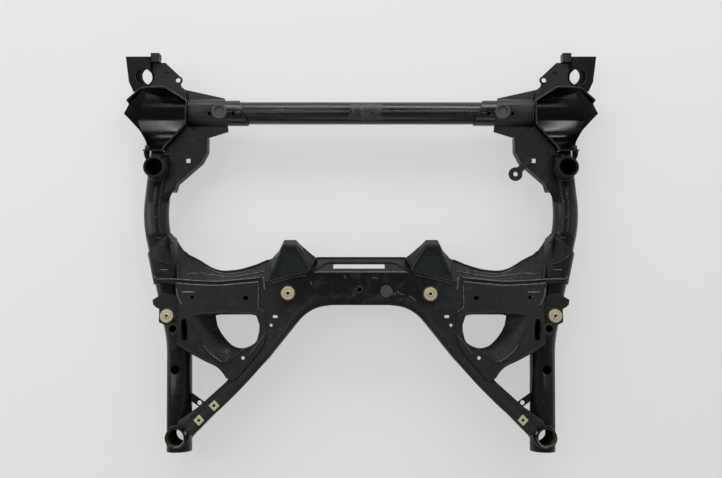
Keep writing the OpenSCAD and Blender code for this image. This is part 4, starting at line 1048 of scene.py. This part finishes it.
def build_nut_serrations():
    """Radial serrations on the faces of the zinc nuts."""
    mesh = bmesh.new()
    for (x, y), top, _ in NUTS:
        for angle in circle_points(NUT_SPOKES, 8.0):
            way = (math.cos(angle), math.sin(angle))
            spoke = [at(x + r * way[0], y + r * way[1], top + 0.05) for r in SPOKE_RADII]
            sweep(mesh, spoke, circle(0.5, 6, 0.6))
    return put("nut_serrations", mesh, "serration")


def build_nut_stains():
    """Yellow run-out of the plating around the zinc nuts."""
    mesh = bmesh.new()
    for k, ((x, y), _, sheet) in enumerate(NUTS):
        ring = [at(x + STAIN_R * math.cos(a), y + STAIN_R * math.sin(a), sheet + 0.1)
                for a in circle_points()]
        sweep(mesh, ring, circle(1.5, 8, 0.3), closed=True, swell=scales(70 + k, 13))
    return put("nut_stains", mesh, "stain")


# Torn paper on the cross tube: where it starts, how wide it is and how far it stands off
PAPER_X, PAPER_WIDE, PAPER_LIFT = -25.0, 72.0, 0.25
# Share of the paper that is missing at its two ends and elsewhere
END_LOSS, INNER_LOSS = 0.5, 0.06


def build_label_remains():
    """Torn remains of a paper label around the middle of the cross tube."""
    mesh = bmesh.new()
    dice = random.Random(5)
    columns, rows = 36, 24
    low = [dice.uniform(-62, -46) for _ in range(columns + 1)]
    high = [dice.uniform(38, 54) for _ in range(columns + 1)]
    grid = []
    for i in range(columns + 1):
        x = PAPER_X + PAPER_WIDE * i / columns
        line = []
        for k in range(rows + 1):
            angle = math.radians(90 - (low[i] + (high[i] - low[i]) * k / rows))
            radius = CROSS_R + PAPER_LIFT + dice.uniform(0, 0.12)
            line.append(mesh.verts.new(at(x + dice.uniform(-0.6, 0.6), CROSS_Y + radius * math.cos(angle),
                                          CROSS_Z + radius * math.sin(angle))))
        grid.append(line)
    for i in range(columns):
        for k in range(rows):
            torn = min(i, columns - 1 - i) < 2 and dice.random() < END_LOSS
            if not torn and dice.random() > INNER_LOSS:
                mesh.faces.new((grid[i][k], grid[i + 1][k], grid[i + 1][k + 1], grid[i][k + 1]))
    loose = [v for v in mesh.verts if not v.link_faces]
    bmesh.ops.delete(mesh, geom=loose, context="VERTS")
    return put("label_remains", mesh, "residue")


# Stage

FLOOR_REACH = 6.0
FLOOR_TONE = (0.82, 0.82, 0.805, 1.0)
FLOOR_ROUGH = 0.9
GLOW_TONE = (0.79, 0.79, 0.77, 1.0)
GLOW_SHARE = 0.65
# The room: low down behind and ahead, and overhead
ROOM_BEHIND, ROOM_AHEAD, ROOM_ABOVE = (0.34, 0.345, 0.36), (0.62, 0.63, 0.65), (0.14, 0.145, 0.15)
# Name, place, what it is aimed at, width, height and power of each light
LIGHTS = (
    ("front_softbox", (0.0, 2.1, 1.05), (0.0, 0.0, 0.05), 2.8, 0.6, 42.0),
    ("rear_softbox", (0.0, -2.0, 1.2), (0.0, 0.0, 0.05), 2.2, 0.6, 6.0),
    ("left_softbox", (-2.0, 0.2, 1.2), (0.0, 0.0, 0.05), 0.6, 1.8, 10.0),
    ("right_softbox", (2.0, 0.2, 1.2), (0.0, 0.0, 0.05), 0.6, 1.8, 2.0),
    ("left_strip", (-1.015, 0.87, 2.2), (-1.015, 0.88, 0.0), 0.1, 1.6, 6.0),
    ("right_strip", (1.015, 0.87, 2.2), (1.015, 0.88, 0.0), 0.1, 1.6, 4.5),
)


def build_floor():
    """A pale floor that keeps a soft shadow of the frame."""
    mesh = bpy.data.meshes.new("floor")
    corners = [(FLOOR_REACH * x, FLOOR_REACH * y, 0) for x, y in ((-1, -1), (1, -1), (1, 1), (-1, 1))]
    mesh.from_pydata(corners, [], [(0, 1, 2, 3)])
    floor = bpy.data.objects.new("floor", mesh)
    bpy.context.collection.objects.link(floor)
    pale = bpy.data.materials.new("pale_floor")
    pale.use_nodes = True
    graph = Graph(pale.node_tree)
    shader = pale.node_tree.nodes["Principled BSDF"]
    shader.inputs["Base Color"].default_value = FLOOR_TONE
    shader.inputs["Roughness"].default_value = FLOOR_ROUGH
    glow = graph.add("ShaderNodeEmission")
    glow.inputs["Color"].default_value = GLOW_TONE
    rays = graph.add("ShaderNodeLightPath").outputs
    seen = graph.math("MAXIMUM", rays["Is Camera Ray"],
                      graph.math("MAXIMUM", rays["Is Glossy Ray"], rays["Is Transmission Ray"]))
    blend = graph.add("ShaderNodeMixShader")
    graph.join(graph.math("MULTIPLY", seen, GLOW_SHARE), blend.inputs["Fac"])
    graph.join(shader.outputs["BSDF"], blend.inputs[1])
    graph.join(glow.outputs["Emission"], blend.inputs[2])
    graph.join(blend.outputs["Shader"], pale.node_tree.nodes["Material Output"].inputs["Surface"])
    mesh.materials.append(pale)


def build_lights():
    """A room that is dim overhead, a soft light beyond the cross tube, weaker ones around, strips above."""
    world = bpy.data.worlds.new("studio")
    bpy.context.scene.world = world
    world.use_nodes = True
    graph = Graph(world.node_tree)
    height = graph.add("ShaderNodeSeparateXYZ")
    graph.join(graph.add("ShaderNodeTexCoord").outputs["Generated"], height.inputs["Vector"])
    share = graph.span(height.outputs["Z"], 0.2, 0.9)
    ahead = graph.span(height.outputs["Y"], -0.7, 0.7)
    horizon = graph.mix(ahead, ROOM_BEHIND, ROOM_AHEAD)
    tone = graph.mix(share, horizon, ROOM_ABOVE)
    graph.join(tone, world.node_tree.nodes["Background"].inputs["Color"])
    for name, place, aim, wide, high, power in LIGHTS:
        light = bpy.data.lights.new(name, "AREA")
        light.shape = "RECTANGLE"
        light.size = wide
        light.size_y = high
        light.energy = power
        lamp = bpy.data.objects.new(name, light)
        lamp.location = place
        lamp.rotation_euler = (Vector(aim) - Vector(place)).to_track_quat("-Z", "Y").to_euler()
        bpy.context.collection.objects.link(lamp)


def build_camera():
    """The photograph's own view, on the frame lying on its back."""
    data = bpy.data.cameras.new("photo_camera")
    data.sensor_width = SENSOR_WIDTH
    data.lens = FOCAL_PIXELS / PHOTO_WIDTH * SENSOR_WIDTH
    camera = bpy.data.objects.new("photo_camera", data)
    camera.location = CAMERA_PLACE
    camera.rotation_euler = (CAMERA_TILT, 0.0, 0.0)
    bpy.context.collection.objects.link(camera)
    bpy.context.scene.camera = camera


dress_nodes()
build_tube_welds()
build_pocket_lips()
build_pocket_flares()
build_gusset_flanges()
build_corner_fillers()
build_saddle_webs()
build_arm_feet()
build_bare_rims()
build_arm_rolls()
build_tower_rolls()
build_pressed_lines()
build_edge_highlights()
build_scratches()
build_nut_serrations()
build_nut_stains()
build_label_remains()
build_floor()
build_lights()
build_camera()
bpy.context.scene.view_settings.view_transform = "Standard"
